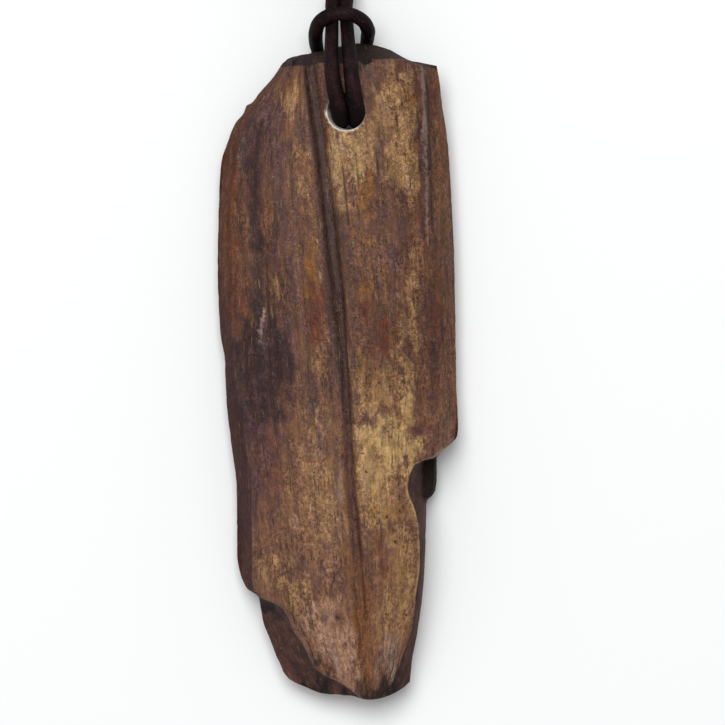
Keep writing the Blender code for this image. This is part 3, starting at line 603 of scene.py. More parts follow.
def relief(x, y, depth):
    """Height added to the front: long noise for the fibres, a finer one where the layer is gone, a
    bell curve across each lamina's edge, which comes and goes, and a rounded bowl for the bruise."""
    height = layered_noise(FIBRE_RELIEF, grain_across(x, y), y)
    height = height + ramp(*TORN_FADE, depth) * layered_noise(TORN_RELIEF, x, y)
    shown = ramp(*LAMINA_SHOWN, layered_noise(LAMINA_BREAKS, x, y) + LAMINA_LIFT)
    for points, width, rise in LAMINA_EDGES:
        near = np.exp(-(distance(x, y, np.array(points), closed=False) / width) ** 2)
        height = height + rise * near * shown
    return height - BRUISE_DEPTH * ramp(*BRUISE_BOWL, from_bruise(x, y))


print("laminae with an edge:", len(LAMINA_EDGES))

# %% The unbroken front
SHOULDER_HEIGHT = 2.7
ARCH_POWER, ARCH_ROUNDING = 2.6, 0.6
BANK_REACH = 0.2                           # how far the groove's banks reach past its edges
VALLEY_HALF_WIDTH = 1.7
FLAT_LEAST, FLAT_MORE = 0.12, 0.43         # flat share of the groove's right half, and its growth
FLAT_GROWS = (-2.0, 10.0)                  # y between which it grows


def crown(x, y):
    """Shoulder height plus the crest's rise over it times (1 - off^power)^rounding, where off is the
    share of the half width, less the groove with its two banks, less the valley's bell curve. The
    groove's floor is flat over a share of its right half, which grows towards the drilled end."""
    left, right = whole_left(y), whole_right(y)
    off = np.clip(np.abs(2 * x - left - right) / (right - left), 0, 1)
    arch = (1 - off ** ARCH_POWER) ** ARCH_ROUNDING
    height = SHOULDER_HEIGHT + (crest_height(y) - SHOULDER_HEIGHT) * arch
    floor, far_edge = groove_floor(y), groove_right(y)
    flat_end = floor + (far_edge - floor) * (FLAT_LEAST + FLAT_MORE * ramp(*FLAT_GROWS, y))
    left_bank = ramp(groove_left(y) - BANK_REACH, floor, x)
    right_bank = ramp(far_edge + BANK_REACH, flat_end, x)
    valley = valley_depth(y) * np.exp(-((x - valley_line(y)) / VALLEY_HALF_WIDTH) ** 2)
    return height - groove_depth(y) * np.minimum(left_bank, right_bank) - valley


print(f"unbroken front at the middle: {crown(middle_x, middle_y)[0]:.2f} mm high")

# %% The whole front and the whole back as heights
END_REACH = 4                              # millimetres over which an end's own rim takes over
CORNER_BREAK = (-26.2, -28.4)              # the broken lower left face sets in between these y
NOTCH, NOTCH_FADE = (-10.05, -15.45), 0.5  # y of the notch in the right side, and how softly it ends
LEDGE_START, LEDGE_HEIGHT = 10.2, 3.4      # x and height of the ledge at the foot of its wall
LEDGE_ROUNDING = 0.3
WALL_WIDTH, WALL_POWER = 0.3, 0.75         # least width of that wall, and the power of its slope
CORNER_DROP = 1.0                          # how much lower the broken corner lies
CLIFF_HALF = 0.3                           # half width of the drop at the edge of the layer
BACK_CURL = 4.0                            # millimetres over which the back curls up to the rim
BACK_RELIEF, BACK_LIFT = [(0.10, 2.1, 9, 31), (0.05, 0.8, 3, 32)], 0.06
FRONT_CALM, BACK_CALM = 0.6, 1.0           # millimetres from the outline over which the relief sets in


def quarter_round(t):
    """Rises from 0 to 1 like a quarter of a circle: the square root of 1 - (1 - t)^2."""
    return np.sqrt(1 - (1 - np.clip(t, 0, 1)) ** 2)


def rim_height(x, y):
    """Height of the rim carried inwards: a blend from side to side, then from each end's own rim."""
    across = (x - left_side(y)) / (right_side(y) - left_side(y))
    side = rim_left(y) + (rim_right(y) - rim_left(y)) * np.clip(across, 0, 1)
    side = side + (rim_top(x) - side) * ramp(END_REACH, 0, top_end(x) - y)
    return side + (rim_bottom(x) - side) * ramp(END_REACH, 0, y - bottom_end(x))


def front(x, y):
    """The crown where the layer is whole. Outside it, from rim to crown by the share of the way that
    a point has come: rounded on worn sides, straight on broken faces, and a ledge in the notch."""
    top, depth, out = crown(x, y), layer_depth(x, y), distance(x, y, outline)
    rim = rim_height(x, y)
    share = out / np.maximum(out + np.abs(depth), 1e-6)
    broken = ramp(*CORNER_BREAK, y) * (x < groove_floor(y))
    slope = np.maximum(broken, y > layer_top(x))
    rise = quarter_round(share) * (1 - slope) + share * slope
    face = rim + (top - CORNER_DROP * broken - rim) * rise
    wall_width = np.maximum(LEDGE_START - layer_right(y), WALL_WIDTH)
    wall = np.clip((LEDGE_START - x) / wall_width, 0, 1) ** WALL_POWER
    ledge = LEDGE_HEIGHT + (top - LEDGE_HEIGHT) * wall
    ledge = rim + (ledge - rim) * quarter_round(out / LEDGE_ROUNDING)
    top_side, tip_side = NOTCH
    in_notch = ramp(top_side, top_side - NOTCH_FADE, y) * ramp(tip_side, tip_side + NOTCH_FADE, y)
    face = face + (ledge - face) * in_notch * (x > 0)
    height = face + (top - face) * ramp(-CLIFF_HALF, CLIFF_HALF, depth)
    return height + relief(x, y, depth) * ramp(0, FRONT_CALM, out)


def back(x, y):
    """Flat, rising to the drilled end, curled up to the rim like a quarter circle, and a little wavy,
    with no wave below the surface it lies on."""
    rise, out = back_rise(y), distance(x, y, outline)
    height = rise + (rim_height(x, y) - rise) * (1 - quarter_round(out / BACK_CURL))
    waves = layered_noise(BACK_RELIEF, x, y) + BACK_LIFT
    return height + np.abs(waves) * ramp(0, BACK_CALM, out)


thickness = front(middle_x, middle_y) - back(middle_x, middle_y)
print(f"thickness at the middle: {thickness[0]:.2f} mm")


# %% [markdown]
# ## The tooth's mesh
# Front and back are two sheets over one lattice of points, and share its outermost points, so the
# body is closed. The lattice bends to follow the guides: its columns run along both sides, the edges
# of the layer and the groove, and its rows follow both ends. Edges are then crisp without millions
# of faces. The hole is drilled last, with an exact Boolean and a cutter that flares at the front, and
# most at the upper left, where the cord is drawn over the edge.

# %% A lattice that follows the guides
BODY_ROWS, END_ROWS = 372, 10
COLUMN_COUNTS = (10, 3, 36, 5, 5, 46, 3, 10)   # columns between neighbouring guides
LAYER_COLUMNS = (-2.9, 6.9)                # the layer's columns stay outside these x, off the groove
FOOT_WIDTH, FOOT_SHARE = 0.3, 0.4          # of the cliff, and at most this share of the way out
TOP_LEVEL, BOTTOM_LEVEL = 36.70, -38.30
TOP_BEND, BOTTOM_BEND = 29.0, -27.0        # y beyond which the rows bend to the ends' curves
ROUNDS = 4


def columns(y):
    """The x of every column at heights y: even steps between neighbouring guides."""
    left, right = left_side(y), right_side(y)
    layer_l = np.minimum(layer_left(y), LAYER_COLUMNS[0])
    layer_r = np.maximum(layer_right(y), LAYER_COLUMNS[1])
    foot_l = layer_l - np.minimum(FOOT_WIDTH, FOOT_SHARE * (layer_l - left))
    foot_r = layer_r + np.minimum(FOOT_WIDTH, FOOT_SHARE * (right - layer_r))
    groove = [groove_left(y), groove_floor(y), groove_right(y)]
    stops = [left, foot_l, layer_l, *groove, layer_r, foot_r, right]
    parts = []
    for start, end, count in zip(stops, stops[1:], COLUMN_COUNTS):
        parts.append(start[:, None] + (end - start)[:, None] * np.arange(count) / count)
    return np.concatenate(parts + [right[:, None]], 1)


def lattice():
    """Places of all points. A row is bent to the ends' curves by an amount that fades towards the
    middle; columns and rows are worked out in turn a few times until they agree."""
    ends = np.linspace(0, 1, END_ROWS, endpoint=False)[:, None]
    levels = np.linspace(TOP_LEVEL, BOTTOM_LEVEL, BODY_ROWS)[:, None]
    width = columns(np.zeros(1)).shape[1]
    y_end = np.full((END_ROWS, width), TOP_LEVEL)
    y_body = np.repeat(levels, width, axis=1)
    place = np.arange(width)
    for _ in range(ROUNDS):
        y = np.concatenate([y_end, y_body])
        x = columns(y.ravel()).reshape(*y.shape, width)[:, place, place]
        x_end, x_body = x[:END_ROWS], x[END_ROWS:]
        y_end = top_end(x_end) + (layer_top(x_end) - top_end(x_end)) * ends
        y_body = levels + (layer_top(x_body) - TOP_LEVEL) * ramp(TOP_BEND, TOP_LEVEL, levels)
        y_body = y_body + (bottom_end(x_body) - BOTTOM_LEVEL) * ramp(BOTTOM_BEND, BOTTOM_LEVEL, levels)
    return x, np.concatenate([y_end, y_body])


grid_x, grid_y = lattice()
rows, width = grid_x.shape
print(f"lattice: {rows} rows of {width} points")

# %% Two sheets over the lattice
front_z, back_z = front(grid_x, grid_y), back(grid_x, grid_y)
on_rim = np.zeros((rows, width), bool)
on_rim[[0, -1]] = on_rim[:, [0, -1]] = True
rim_z = np.zeros((rows, width))
rim_z[:, 0], rim_z[:, -1] = rim_left(grid_y[:, 0]), rim_right(grid_y[:, -1])
rim_z[0], rim_z[-1] = rim_top(grid_x[0]), rim_bottom(grid_x[-1])
front_z = np.where(on_rim, rim_z, front_z)
back_z = np.maximum(back_z, 0)

front_index = np.arange(rows * width).reshape(rows, width)
back_index = front_index.copy()
back_index[~on_rim] = rows * width + np.arange((~on_rim).sum())
tooth_points = np.concatenate([
    np.stack([grid_x.ravel(), grid_y.ravel(), front_z.ravel()], 1),
    np.stack([grid_x[~on_rim], grid_y[~on_rim], back_z[~on_rim]], 1)])


def quads(index):
    """The four corners of every cell of a grid of point numbers, anticlockwise from above."""
    corners = index[:-1, :-1], index[1:, :-1], index[1:, 1:], index[:-1, 1:]
    return np.stack(corners, -1).reshape(-1, 4)


tooth_faces = np.concatenate([quads(front_index), quads(back_index)[:, ::-1]])
tooth = mesh_piece("tooth_body", tooth_points, tooth_faces.tolist())
print(f"sheets: {len(tooth_faces)} faces, {tooth_points[:, 2].max():.2f} mm high")

# %% The drilled hole, flared at the front
HOLE_SIDES = 72
FLARE = (1.02, 31.05)                      # centre of the flared edge
FLARE_RADIUS = 2.34
HOLE_PROFILE = [                           # height, radius and centre of each ring of the cutter
    (-2.0, 2.30, 1.33, 30.75), (7.3, 2.22, 1.32, 30.78), (8.4, 1.98, 1.29, 30.89),
    (9.2, 2.24, 1.05, 31.03), (9.9, FLARE_RADIUS, *FLARE), (13.0, 3.20, *FLARE),
]
SHARP_ANGLE = 0.9                          # radians between two faces whose edge stays sharp

angle = np.linspace(0, 2 * pi, HOLE_SIDES, endpoint=False)
rings = [
    np.column_stack([cx + r * np.cos(angle), cy + r * np.sin(angle), np.full(HOLE_SIDES, z)])
    for z, r, cx, cy in HOLE_PROFILE]
ring_index = np.arange(len(rings) * HOLE_SIDES).reshape(len(rings), HOLE_SIDES)
ring_index = np.concatenate([ring_index, ring_index[:, :1]], 1)
walls = quads(ring_index)[:, ::-1].tolist()
bit_faces = walls + [ring_index[0, :-1][::-1].tolist(), ring_index[-1, :-1].tolist()]
bit = mesh_piece("bit", np.concatenate(rings), bit_faces)
drilling = tooth.modifiers.new("drilling", "BOOLEAN")
drilling.operation, drilling.solver, drilling.object = "DIFFERENCE", "EXACT", bit
bpy.context.view_layer.update()
drilled = bpy.data.meshes.new_from_object(tooth.evaluated_get(bpy.context.evaluated_depsgraph_get()))
tooth.modifiers.clear()
tooth.data = drilled
bpy.data.objects.remove(bit)
drilled.set_sharp_from_angle(angle=SHARP_ANGLE)
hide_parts("tooth")
print(f"drilled: {len(drilled.polygons)} faces, {len(drilled.vertices)} points")

# %% [markdown]
# ## Where each stain lies
# Minerals stained the tooth in patches: tan and cream where the surface is worn, gold, red-brown and
# purple along the grain, and umber and almost black in corners and along edges. The umber and black
# ovals also hold painted shade along the left side, along the top edge, under the broken edge of the
# layer and in a pocket of the drilled end, the pale grey ones painted sheen, and a cream and a tan
# oval on the groove's right bank painted light. A patch is a soft oval with its centre, half width,
# half length and strength. The ovals of one tone are joined and their edges pushed about by noise, so
# none shows as an oval, and each tone becomes an attribute that the material reads.
# Painting by hand would do too, but ovals in a table can be moved and weighed one by one.

# %% Ovals of each tone, in millimetres
STAINS = {
    "tan": [
        (-5.2, 32.7, 1.0, 2.3, 0.88), (-4.2, 24.5, 1.0, 5.0, 0.5), (-3.2, 34.0, 0.4, 3.0, 0.4),
        (-0.7, 24.5, 0.9, 5.0, 0.75), (2.3, 26.6, 2.2, 2.6, 0.85), (4.6, 31.5, 0.9, 2.6, 0.35),
        (7.7, 29.6, 1.8, 3.2, 0.75), (7.6, 24.2, 1.6, 3.2, 0.8), (8.2, 35.0, 2.0, 1.6, 0.6),
        (6.4, 33.0, 1.8, 2.4, 0.55), (2.4, 19.5, 1.2, 3.0, 0.45), (8.8, 11.0, 1.0, 4.5, 0.55),
        (-8.0, 20.5, 0.8, 1.4, 0.5), (-1.9, 3.0, 1.3, 4.5, 0.5), (-7.0, 9.5, 0.6, 3.0, 0.5),
        (2.6, -1.4, 1.4, 3.4, 0.55), (4.6, -3.2, 1.6, 1.7, 0.65), (6.2, 1.5, 1.6, 2.6, 0.45),
        (8.5, -1.5, 0.8, 3.0, 0.6), (-2.5, -8.5, 2.2, 4.2, 0.5), (-2.2, -15.5, 2.6, 5.0, 0.6),
        (-6.8, -13.5, 1.8, 5.0, 0.2), (4.6, -14.5, 3.6, 5.0, 0.85), (-8.3, -23.6, 1.7, 2.2, 0.8),
        (-5.6, -26.0, 2.2, 2.4, 0.7), (6.3, -2.4, 1.9, 1.8, 0.75), (8.9, 25.5, 0.8, 3.4, 0.5),
        (9.2, 22.6, 0.7, 1.8, 0.6), (7.4, -22.8, 1.4, 4.0, 0.75), (-1.2, -20.0, 1.6, 3.0, 0.4),
        (-4.6, -21.0, 1.4, 2.0, 0.4), (6.2, -29.5, 2.2, 3.2, 0.65), (8.7, -17.4, 0.7, 2.4, 0.75),
        (8.6, -26.0, 1.0, 3.6, 0.6), (0.3, 23.5, 0.7, 5.2, 0.8), (8.9, 4.2, 1.1, 4.2, 0.8),
        (5.9, 27.2, 1.6, 3.2, 0.65), (-3.3, 20.8, 0.6, 1.8, 0.5), (-6.4, 33.0, 0.9, 1.6, 0.5),
    ],
    # The first cream oval here and the tan oval at (0.3, 23.5) are painted light on the groove's right
    # bank.
    "cream": [
        (0.0, 25.4, 0.65, 3.8, 0.75), (2.9, 25.5, 1.5, 3.0, 0.55), (-1.9, 12.2, 0.35, 4.5, 0.35),
        (-0.6, 27.7, 0.7, 1.3, 0.5), (6.0, -8.6, 3.2, 3.1, 0.85), (8.5, -4.4, 0.9, 2.8, 0.75),
        (4.5, -12.5, 2.6, 3.0, 0.6), (5.4, -17.2, 1.2, 1.2, 0.5), (8.0, 36.3, 0.9, 0.6, 0.5),
        (8.6, -10.2, 2.0, 0.8, 0.5), (7.5, 23.5, 0.9, 2.4, 0.3), (2.5, -7.8, 0.9, 4.5, 0.45),
        (8.9, -8.5, 0.9, 1.2, 0.7), (1.3, 28.1, 1.4, 0.6, 0.5),
    ],
    "rose": [
        (-1.2, -31.8, 2.2, 4.2, 0.85), (-3.4, -29.2, 1.4, 2.2, 0.6), (5.6, -33.5, 1.6, 2.0, 0.6),
        (0.9, -33.5, 1.4, 3.6, 0.7), (-5.2, -17.5, 1.2, 3.0, 0.35), (-1.0, -24.8, 1.3, 2.0, 0.45),
        (8.4, -25.5, 0.9, 4.0, 0.45), (7.2, 8.5, 1.2, 3.0, 0.25), (-5.5, 30.5, 0.7, 1.6, 0.35),
        (6.2, -21.0, 1.5, 2.5, 0.3), (-3.0, -11.5, 1.2, 1.0, 0.4), (1.4, -35.2, 1.2, 2.4, 0.6),
        (1.6, -37.0, 0.9, 1.3, 0.6),
    ],
    "gold": [
        (-4.3, 26.0, 0.6, 5.0, 0.45), (-3.4, 19.0, 0.7, 3.6, 0.45), (-3.2, 12.0, 1.1, 5.0, 0.8),
        (3.3, 20.4, 1.5, 4.0, 0.85), (3.8, 29.8, 0.8, 1.6, 0.35), (9.0, 27.0, 0.6, 3.5, 0.5),
        (12.1, 27.5, 0.55, 4.5, 0.85), (12.6, 21.0, 0.45, 3.5, 0.6), (-12.9, 17.0, 0.9, 5.0, 0.85),
        (3.6, 9.5, 1.6, 2.2, 0.45), (3.9, -0.6, 2.2, 2.4, 0.45), (5.2, 14.0, 1.2, 2.0, 0.3),
        (3.2, -32.5, 0.9, 6.0, 0.8), (6.6, -15.6, 1.6, 1.6, 0.35), (7.6, -23.0, 1.2, 3.0, 0.45),
        (-1.9, 1.0, 0.8, 4.0, 0.45), (-12.9, 1.5, 0.5, 2.5, 0.4), (8.6, 32.0, 1.2, 1.2, 0.5),
        (4.5, -16.2, 2.4, 2.0, 0.4), (-4.0, 34.5, 0.9, 2.0, 0.35),
    ],
    "red": [
        (11.6, 33.8, 0.6, 3.0, 0.9), (-12.9, 18.0, 1.2, 7.0, 0.65), (-2.7, 7.2, 1.3, 3.6, 0.95),
        (-12.4, 8.5, 1.4, 5.0, 0.6), (5.0, 4.0, 2.2, 2.4, 0.7), (3.6, 7.8, 2.4, 1.8, 0.5),
        (-8.7, -12.0, 1.6, 5.5, 0.65), (2.9, -29.0, 0.6, 6.0, 0.65), (3.4, -35.4, 0.8, 2.0, 0.6),
        (6.0, -18.8, 0.8, 1.8, 0.65), (5.4, -24.2, 0.5, 1.5, 0.7), (4.8, -21.2, 0.7, 1.2, 0.4),
        (11.9, 6.0, 1.1, 8.0, 0.6), (-10.3, 33.2, 1.2, 2.0, 0.5), (-12.8, 24.0, 0.8, 3.0, 0.5),
        (-2.5, 7.0, 1.0, 2.8, 0.6), (3.6, -27.0, 0.6, 6.0, 0.5), (-7.4, -10.0, 0.8, 4.0, 0.3),
        (-6.3, 34.3, 1.2, 1.4, 0.4),
    ],
    "purple": [
        (5.2, 21.5, 1.0, 5.5, 0.48), (3.9, 35.2, 1.0, 2.0, 0.6), (8.4, 17.4, 1.7, 2.6, 0.45),
        (-8.8, 31.0, 1.8, 2.4, 0.65), (-7.6, 26.0, 1.2, 3.0, 0.5), (-11.0, 26.8, 1.4, 3.6, 0.65),
        (-6.7, 16.5, 1.2, 4.4, 0.6), (-6.9, 3.8, 2.2, 3.8, 0.7), (-9.9, -2.3, 2.8, 3.4, 0.75),
        (-12.6, 2.3, 1.3, 4.0, 0.5), (-5.2, 11.9, 0.6, 3.2, 0.55), (5.2, 10.5, 1.0, 3.0, 0.4),
        (6.7, 12.8, 0.9, 3.6, 0.5), (-4.9, 28.4, 0.7, 1.2, 0.5), (-9.9, -8.5, 2.0, 6.5, 0.75),
        (-7.2, -21.6, 1.0, 0.6, 0.45), (-4.4, -22.6, 1.1, 1.2, 0.75), (-2.0, -25.0, 0.8, 0.9, 0.65),
        (-2.7, -18.8, 1.2, 0.9, 0.5), (-3.9, -30.2, 0.9, 0.7, 0.5), (0.1, -29.6, 0.5, 0.4, 0.7),
        (4.2, -24.9, 1.0, 2.0, 0.2), (6.9, -27.5, 1.2, 1.6, 0.3), (-2.4, -8.6, 1.0, 0.7, 0.6),
        (10.4, 27.0, 0.36, 9.0, 0.8), (6.2, 29.6, 0.5, 1.6, 0.4), (-8.0, 36.0, 1.5, 1.0, 0.5),
        (-1.3, 33.5, 0.7, 3.4, 0.35), (-11.0, -15.0, 1.5, 9.0, 0.6), (5.3, 26.2, 0.5, 1.4, 0.35),
        (-8.5, 22.0, 2.0, 9.0, 0.3), (-5.0, -32.8, 0.9, 1.0, 0.5), (-7.6, -17.0, 1.0, 5.0, 0.35),
        (-6.4, -5.0, 2.0, 1.4, 0.45), (5.6, -30.6, 0.8, 2.4, 0.35), (-0.4, -35.2, 1.6, 1.0, 0.45),
        (7.2, 30.8, 0.8, 0.8, 0.4), (10.0, 11.0, 0.6, 9.0, 0.5), (1.4, 13.6, 0.7, 4.0, 0.4),
        (-3.6, -34.6, 1.4, 1.0, 0.6), (4.5, 5.2, 1.2, 1.0, 0.35), (-1.0, -27.6, 0.6, 0.6, 0.5),
        (8.9, 34.6, 0.6, 1.0, 0.5), (5.8, 15.8, 2.0, 1.6, 0.35), (-3.6, 18.0, 0.8, 2.0, 0.4),
        (-8.5, 27.0, 3.5, 8.0, 0.22), (-6.5, 8.0, 3.0, 8.0, 0.2), (-9.5, -12.0, 2.2, 6.0, 0.4),
        (-6.8, 22.9, 0.8, 1.8, 0.5), (2.8, 15.6, 0.8, 1.6, 0.45), (-6.2, -8.5, 1.2, 2.6, 0.4),
    ],
    # Umber: partly stain, partly painted shade along the left side and the top edge.
    "umber": [
        (-9.9, 21.0, 0.8, 8.0, 0.85), (-9.5, 9.0, 0.9, 8.0, 0.85), (-9.3, 3.2, 1.6, 4.5, 0.65),
        (-7.6, 14.0, 0.5, 9.0, 0.5), (-10.8, -1.0, 2.0, 8.0, 0.5), (-7.0, 1.5, 1.4, 3.6, 0.5),
        (-5.9, 0.8, 1.9, 2.8, 0.7), (-9.0, -2.8, 1.0, 2.2, 0.6), (11.2, 8.0, 0.7, 10.0, 0.35),
        (-11.8, -15.0, 0.9, 8.5, 0.75), (-11.8, -7.0, 1.0, 3.5, 0.6), (-7.4, -4.0, 2.2, 1.4, 0.45),
        (-7.0, 37.0, 1.6, 0.8, 0.6), (2.9, 36.4, 1.0, 0.5, 0.6), (-12.4, 26.0, 0.7, 3.0, 0.5),
        (-8.6, 0.5, 3.2, 7.0, 0.5), (-13.3, -4.0, 1.0, 9.0, 0.45), (-13.6, 10.0, 0.5, 9.0, 0.35),
        (9.95, 24.0, 0.2, 9.0, 0.6), (4.9, 20.5, 0.25, 8.0, 0.35), (-6.2, 14.0, 0.5, 7.0, 0.35),
        (9.6, 28.4, 0.8, 1.4, 0.5), (13.0, 15.5, 0.5, 8.0, 0.4), (-11.6, 29.8, 0.9, 1.4, 0.4),
        (10.95, 34.6, 0.25, 3.4, 0.85), (11.0, 25.0, 0.22, 6.0, 0.6), (-10.4, 23.5, 0.7, 3.5, 0.4),
        (7.6, -18.0, 0.6, 0.5, 0.4), (-12.0, -20.0, 0.9, 4.0, 0.5), (-9.3, 29.0, 1.5, 3.0, 0.35),
        (-8.4, 35.2, 1.2, 1.6, 0.5), (-9.9, 33.0, 0.8, 1.6, 0.45), (-11.3, 31.0, 0.7, 1.4, 0.4),
        (-5.6, 14.2, 0.5, 3.0, 0.5), (-9.3, 10.9, 0.7, 1.8, 0.5), (1.5, 13.3, 0.5, 2.0, 0.5),
        (-2.6, -35.4, 1.2, 0.9, 0.85), (-0.8, -37.2, 1.2, 0.8, 0.7), (-5.6, 27.6, 0.6, 1.4, 0.4),
    ],
    # Pale grey: partly the tooth's own grey, partly painted sheen on glossy spots, the right side and a
    # raised lamina.
    "grey_and_sheen": [
        (-9.2, 5.6, 0.35, 1.9, 0.75), (-8.9, 7.2, 0.3, 0.8, 0.6), (10.35, 29.5, 0.28, 6.0, 0.7),
        (-11.6, 25.4, 0.5, 2.6, 0.5), (-9.2, 30.6, 0.7, 1.4, 0.4), (13.7, 13.5, 0.6, 6.5, 0.85),
        (-3.3, 29.5, 0.4, 5.0, 0.35), (6.4, -31.5, 1.2, 1.2, 0.4), (6.3, -34.8, 1.5, 2.4, 0.7),
        (-0.6, 29.8, 0.35, 0.8, 0.5), (13.1, -2.0, 0.3, 6.0, 0.35), (-3.0, -4.0, 2.0, 3.0, 0.3),
        (0.4, -12.0, 0.5, 7.5, 0.45), (1.2, -21.0, 0.5, 4.0, 0.3), (-0.9, -34.3, 1.3, 1.4, 0.6),
    ],
    # Near black: partly stain, partly painted shade under the broken edge of the layer and in a pocket of
    # the drilled end.
    "black": [
        (5.8, -37.7, 2.0, 1.3, 0.75), (4.4, -38.4, 2.0, 0.8, 0.95), (3.3, 36.9, 0.9, 0.6, 0.95),
        (-9.4, -26.4, 1.3, 0.7, 1.0), (-8.2, -27.3, 1.2, 0.6, 1.0), (-3.6, -38.4, 1.8, 0.9, 0.95),
        (-0.6, -38.5, 2.2, 0.9, 0.95),
    ],
}
print("stains:", {tone: len(ovals) for tone, ovals in STAINS.items()})

# %% [markdown]
# ## The darker groove, cracks, light edges and pits
# The groove is darker along its length, and grime settled in fine cracks. The raised edges of some
# laminae are light, partly from polish and partly as painted highlight. Each such line is a row of
# points with a half width at each, and its mark fades with the square of the distance, like a pencil
# line. A few small pits are single points.

# %% Lines as (x, y, half width) along each, and pits as (x, y)
# The groove's darker band: its middle and half width at each y.
GROOVE_DARK = [
    (-3.35, 36.6, 0.80), (-3.20, 34.0, 0.86), (-2.70, 30.0, 0.84), (-1.95, 25.5, 0.90),
    (-1.45, 21.0, 0.95), (-0.85, 16.0, 0.98), (-0.20, 9.8, 1.05), (0.15, 4.0, 0.95),
    (0.55, 0.5, 0.85), (0.95, -2.2, 0.65), (1.17, -4.5, 0.48), (1.30, -8.0, 0.44),
    (1.42, -11.8, 0.46), (1.68, -14.3, 0.52), (2.00, -17.9, 0.62), (2.20, -20.9, 0.64),
    (2.50, -23.0, 0.60), (2.95, -26.0, 0.62), (3.30, -30.0, 0.70), (3.60, -33.0, 0.72),
    (3.50, -36.4, 0.60),
]
HAIRLINES = [
    [(4.35, 30.2, 0.09), (4.75, 25.5, 0.10), (4.95, 20.0, 0.08)],
    [(-8.45, 15.5, 0.10), (-8.15, 5.0, 0.16), (-8.05, -3.5, 0.08)],
    [(-6.05, -14.2, 0.06), (-6.0, -19.0, 0.08), (-6.3, -23.5, 0.05)],
    [(-10.6, -10.0, 0.08), (-10.45, -16.0, 0.10), (-10.3, -24.0, 0.08)],
    [(6.9, -33.3, 0.06), (6.6, -35.6, 0.09), (5.9, -37.6, 0.12)],
    [(7.5, -34.0, 0.05), (7.1, -36.0, 0.09), (6.7, -37.6, 0.08)],
    [(0.3, 27.8, 0.05), (0.9, 22.0, 0.07), (1.3, 17.5, 0.05)],
    [(-2.7, -32.2, 0.05), (-2.2, -34.5, 0.09), (-1.2, -36.3, 0.06)],
    [(9.35, 35.8, 0.06), (9.6, 30.0, 0.10), (9.75, 24.0, 0.06)],
    [(10.65, 36.5, 0.14), (10.85, 31.0, 0.20), (11.1, 25.0, 0.16), (11.25, 18.0, 0.10)],
    [(-8.2, 31.0, 0.05), (-7.9, 25.0, 0.10), (-7.7, 19.0, 0.08)],
    [(6.95, 32.0, 0.05), (7.1, 28.5, 0.08), (7.0, 25.5, 0.05)],
    [(2.3, 25.0, 0.05), (2.5, 21.5, 0.09), (2.55, 17.0, 0.05)],
    [(-4.7, -30.0, 0.06), (-3.45, -32.7, 0.12), (-2.6, -35.0, 0.06)],
]
# The light lines along raised laminae are partly polish and partly painted highlight.
RIDGES = [                                 # light, polished edges of laminae
    [(10.05, 36.7, 0.22), (10.35, 31.0, 0.34), (10.60, 25.0, 0.28), (10.80, 15.0, 0.16)],
    [(-8.95, 7.6, 0.06), (-9.15, 5.6, 0.20), (-9.75, 3.7, 0.05)],
    [(-5.4, -30.6, 0.06), (-4.2, -32.6, 0.16), (-2.9, -35.0, 0.06)],
    [(0.15, -7.5, 0.05), (0.20, -12.0, 0.14), (0.25, -17.0, 0.12), (0.35, -21.0, 0.05)],
]
PITS = [
    (2.7, 7.6), (4.95, -1.4), (5.8, -29.0), (-0.1, -29.4), (8.2, -29.2), (-0.8, -18.1), (3.0, -9.8),
    (3.4, -12.0), (1.9, 12.3), (5.4, 20.1), (8.0, 25.9), (-7.6, 19.9), (6.9, -20.4), (5.9, -17.4),
]
print("lines:", 1 + len(HAIRLINES) + len(RIDGES), "and pits:", len(PITS))

# %% Masks of ovals and lines
def line_marks(x, y, lines):
    """The strongest of exp(-(d / w)^2) for all lines, where d is the distance to a line and w its half
    width at that y. The points of a line run from the drilled end towards the tip."""
    marks = np.zeros(x.shape)
    for points in lines:
        line = np.array(points)
        width = np.interp(y, line[::-1, 1], line[::-1, 2])
        marks = np.maximum(marks, np.exp(-(distance(x, y, line[:, :2], closed=False) / width) ** 2))
    return marks


def stain(ovals, x, y):
    """All ovals of a tone as one mask: 1 - the product of (1 - strength exp(-(dx/a)^2 - (dy/b)^2))."""
    rest = np.ones(x.shape)
    for centre_x, centre_y, half_width, half_length, strength in ovals:
        away = ((x - centre_x) / half_width) ** 2 + ((y - centre_y) / half_length) ** 2
        rest *= 1 - strength * np.exp(-away)
    return 1 - rest


print("an oval of strength 0.5 at its centre:", stain([(0, 0, 1, 1, 0.5)], middle_x, middle_y)[0])

# %% Each tone as an attribute of the tooth
BACK_SHIFT = 9                             # the back shows them mirrored, this much nearer the tip
SHIFT_ACROSS = [(0.25, 1.1, 3.4, 41), (0.16, 0.42, 1.3, 42)]
SHIFT_ALONG = [(1.6, 0.8, 2.6, 43), (0.5, 0.35, 1.0, 44)]
FRONT_FADE = (-0.6, 0.3)                   # heights over the rim between which the front begins

co = np.empty(len(drilled.vertices) * 3)
drilled.vertices.foreach_get("co", co)
x, y, z = co.reshape(-1, 3).T / MM
upper = ramp(*FRONT_FADE, z - rim_height(x, y))    # 1 on the front, 0 on the back
stain_x = np.where(upper > 0.5, x, -x) + layered_noise(SHIFT_ACROSS, x, y)
stain_y = np.where(upper > 0.5, y, y + BACK_SHIFT) + layered_noise(SHIFT_ALONG, x, y)
weight = 0.55 + 0.45 * upper               # they are weaker on the back
for tone, ovals in STAINS.items():
    set_attribute(drilled, tone, weight * stain(ovals, stain_x, stain_y))
print(f"upper side: {(upper > 0.5).mean():.0%} of the points")
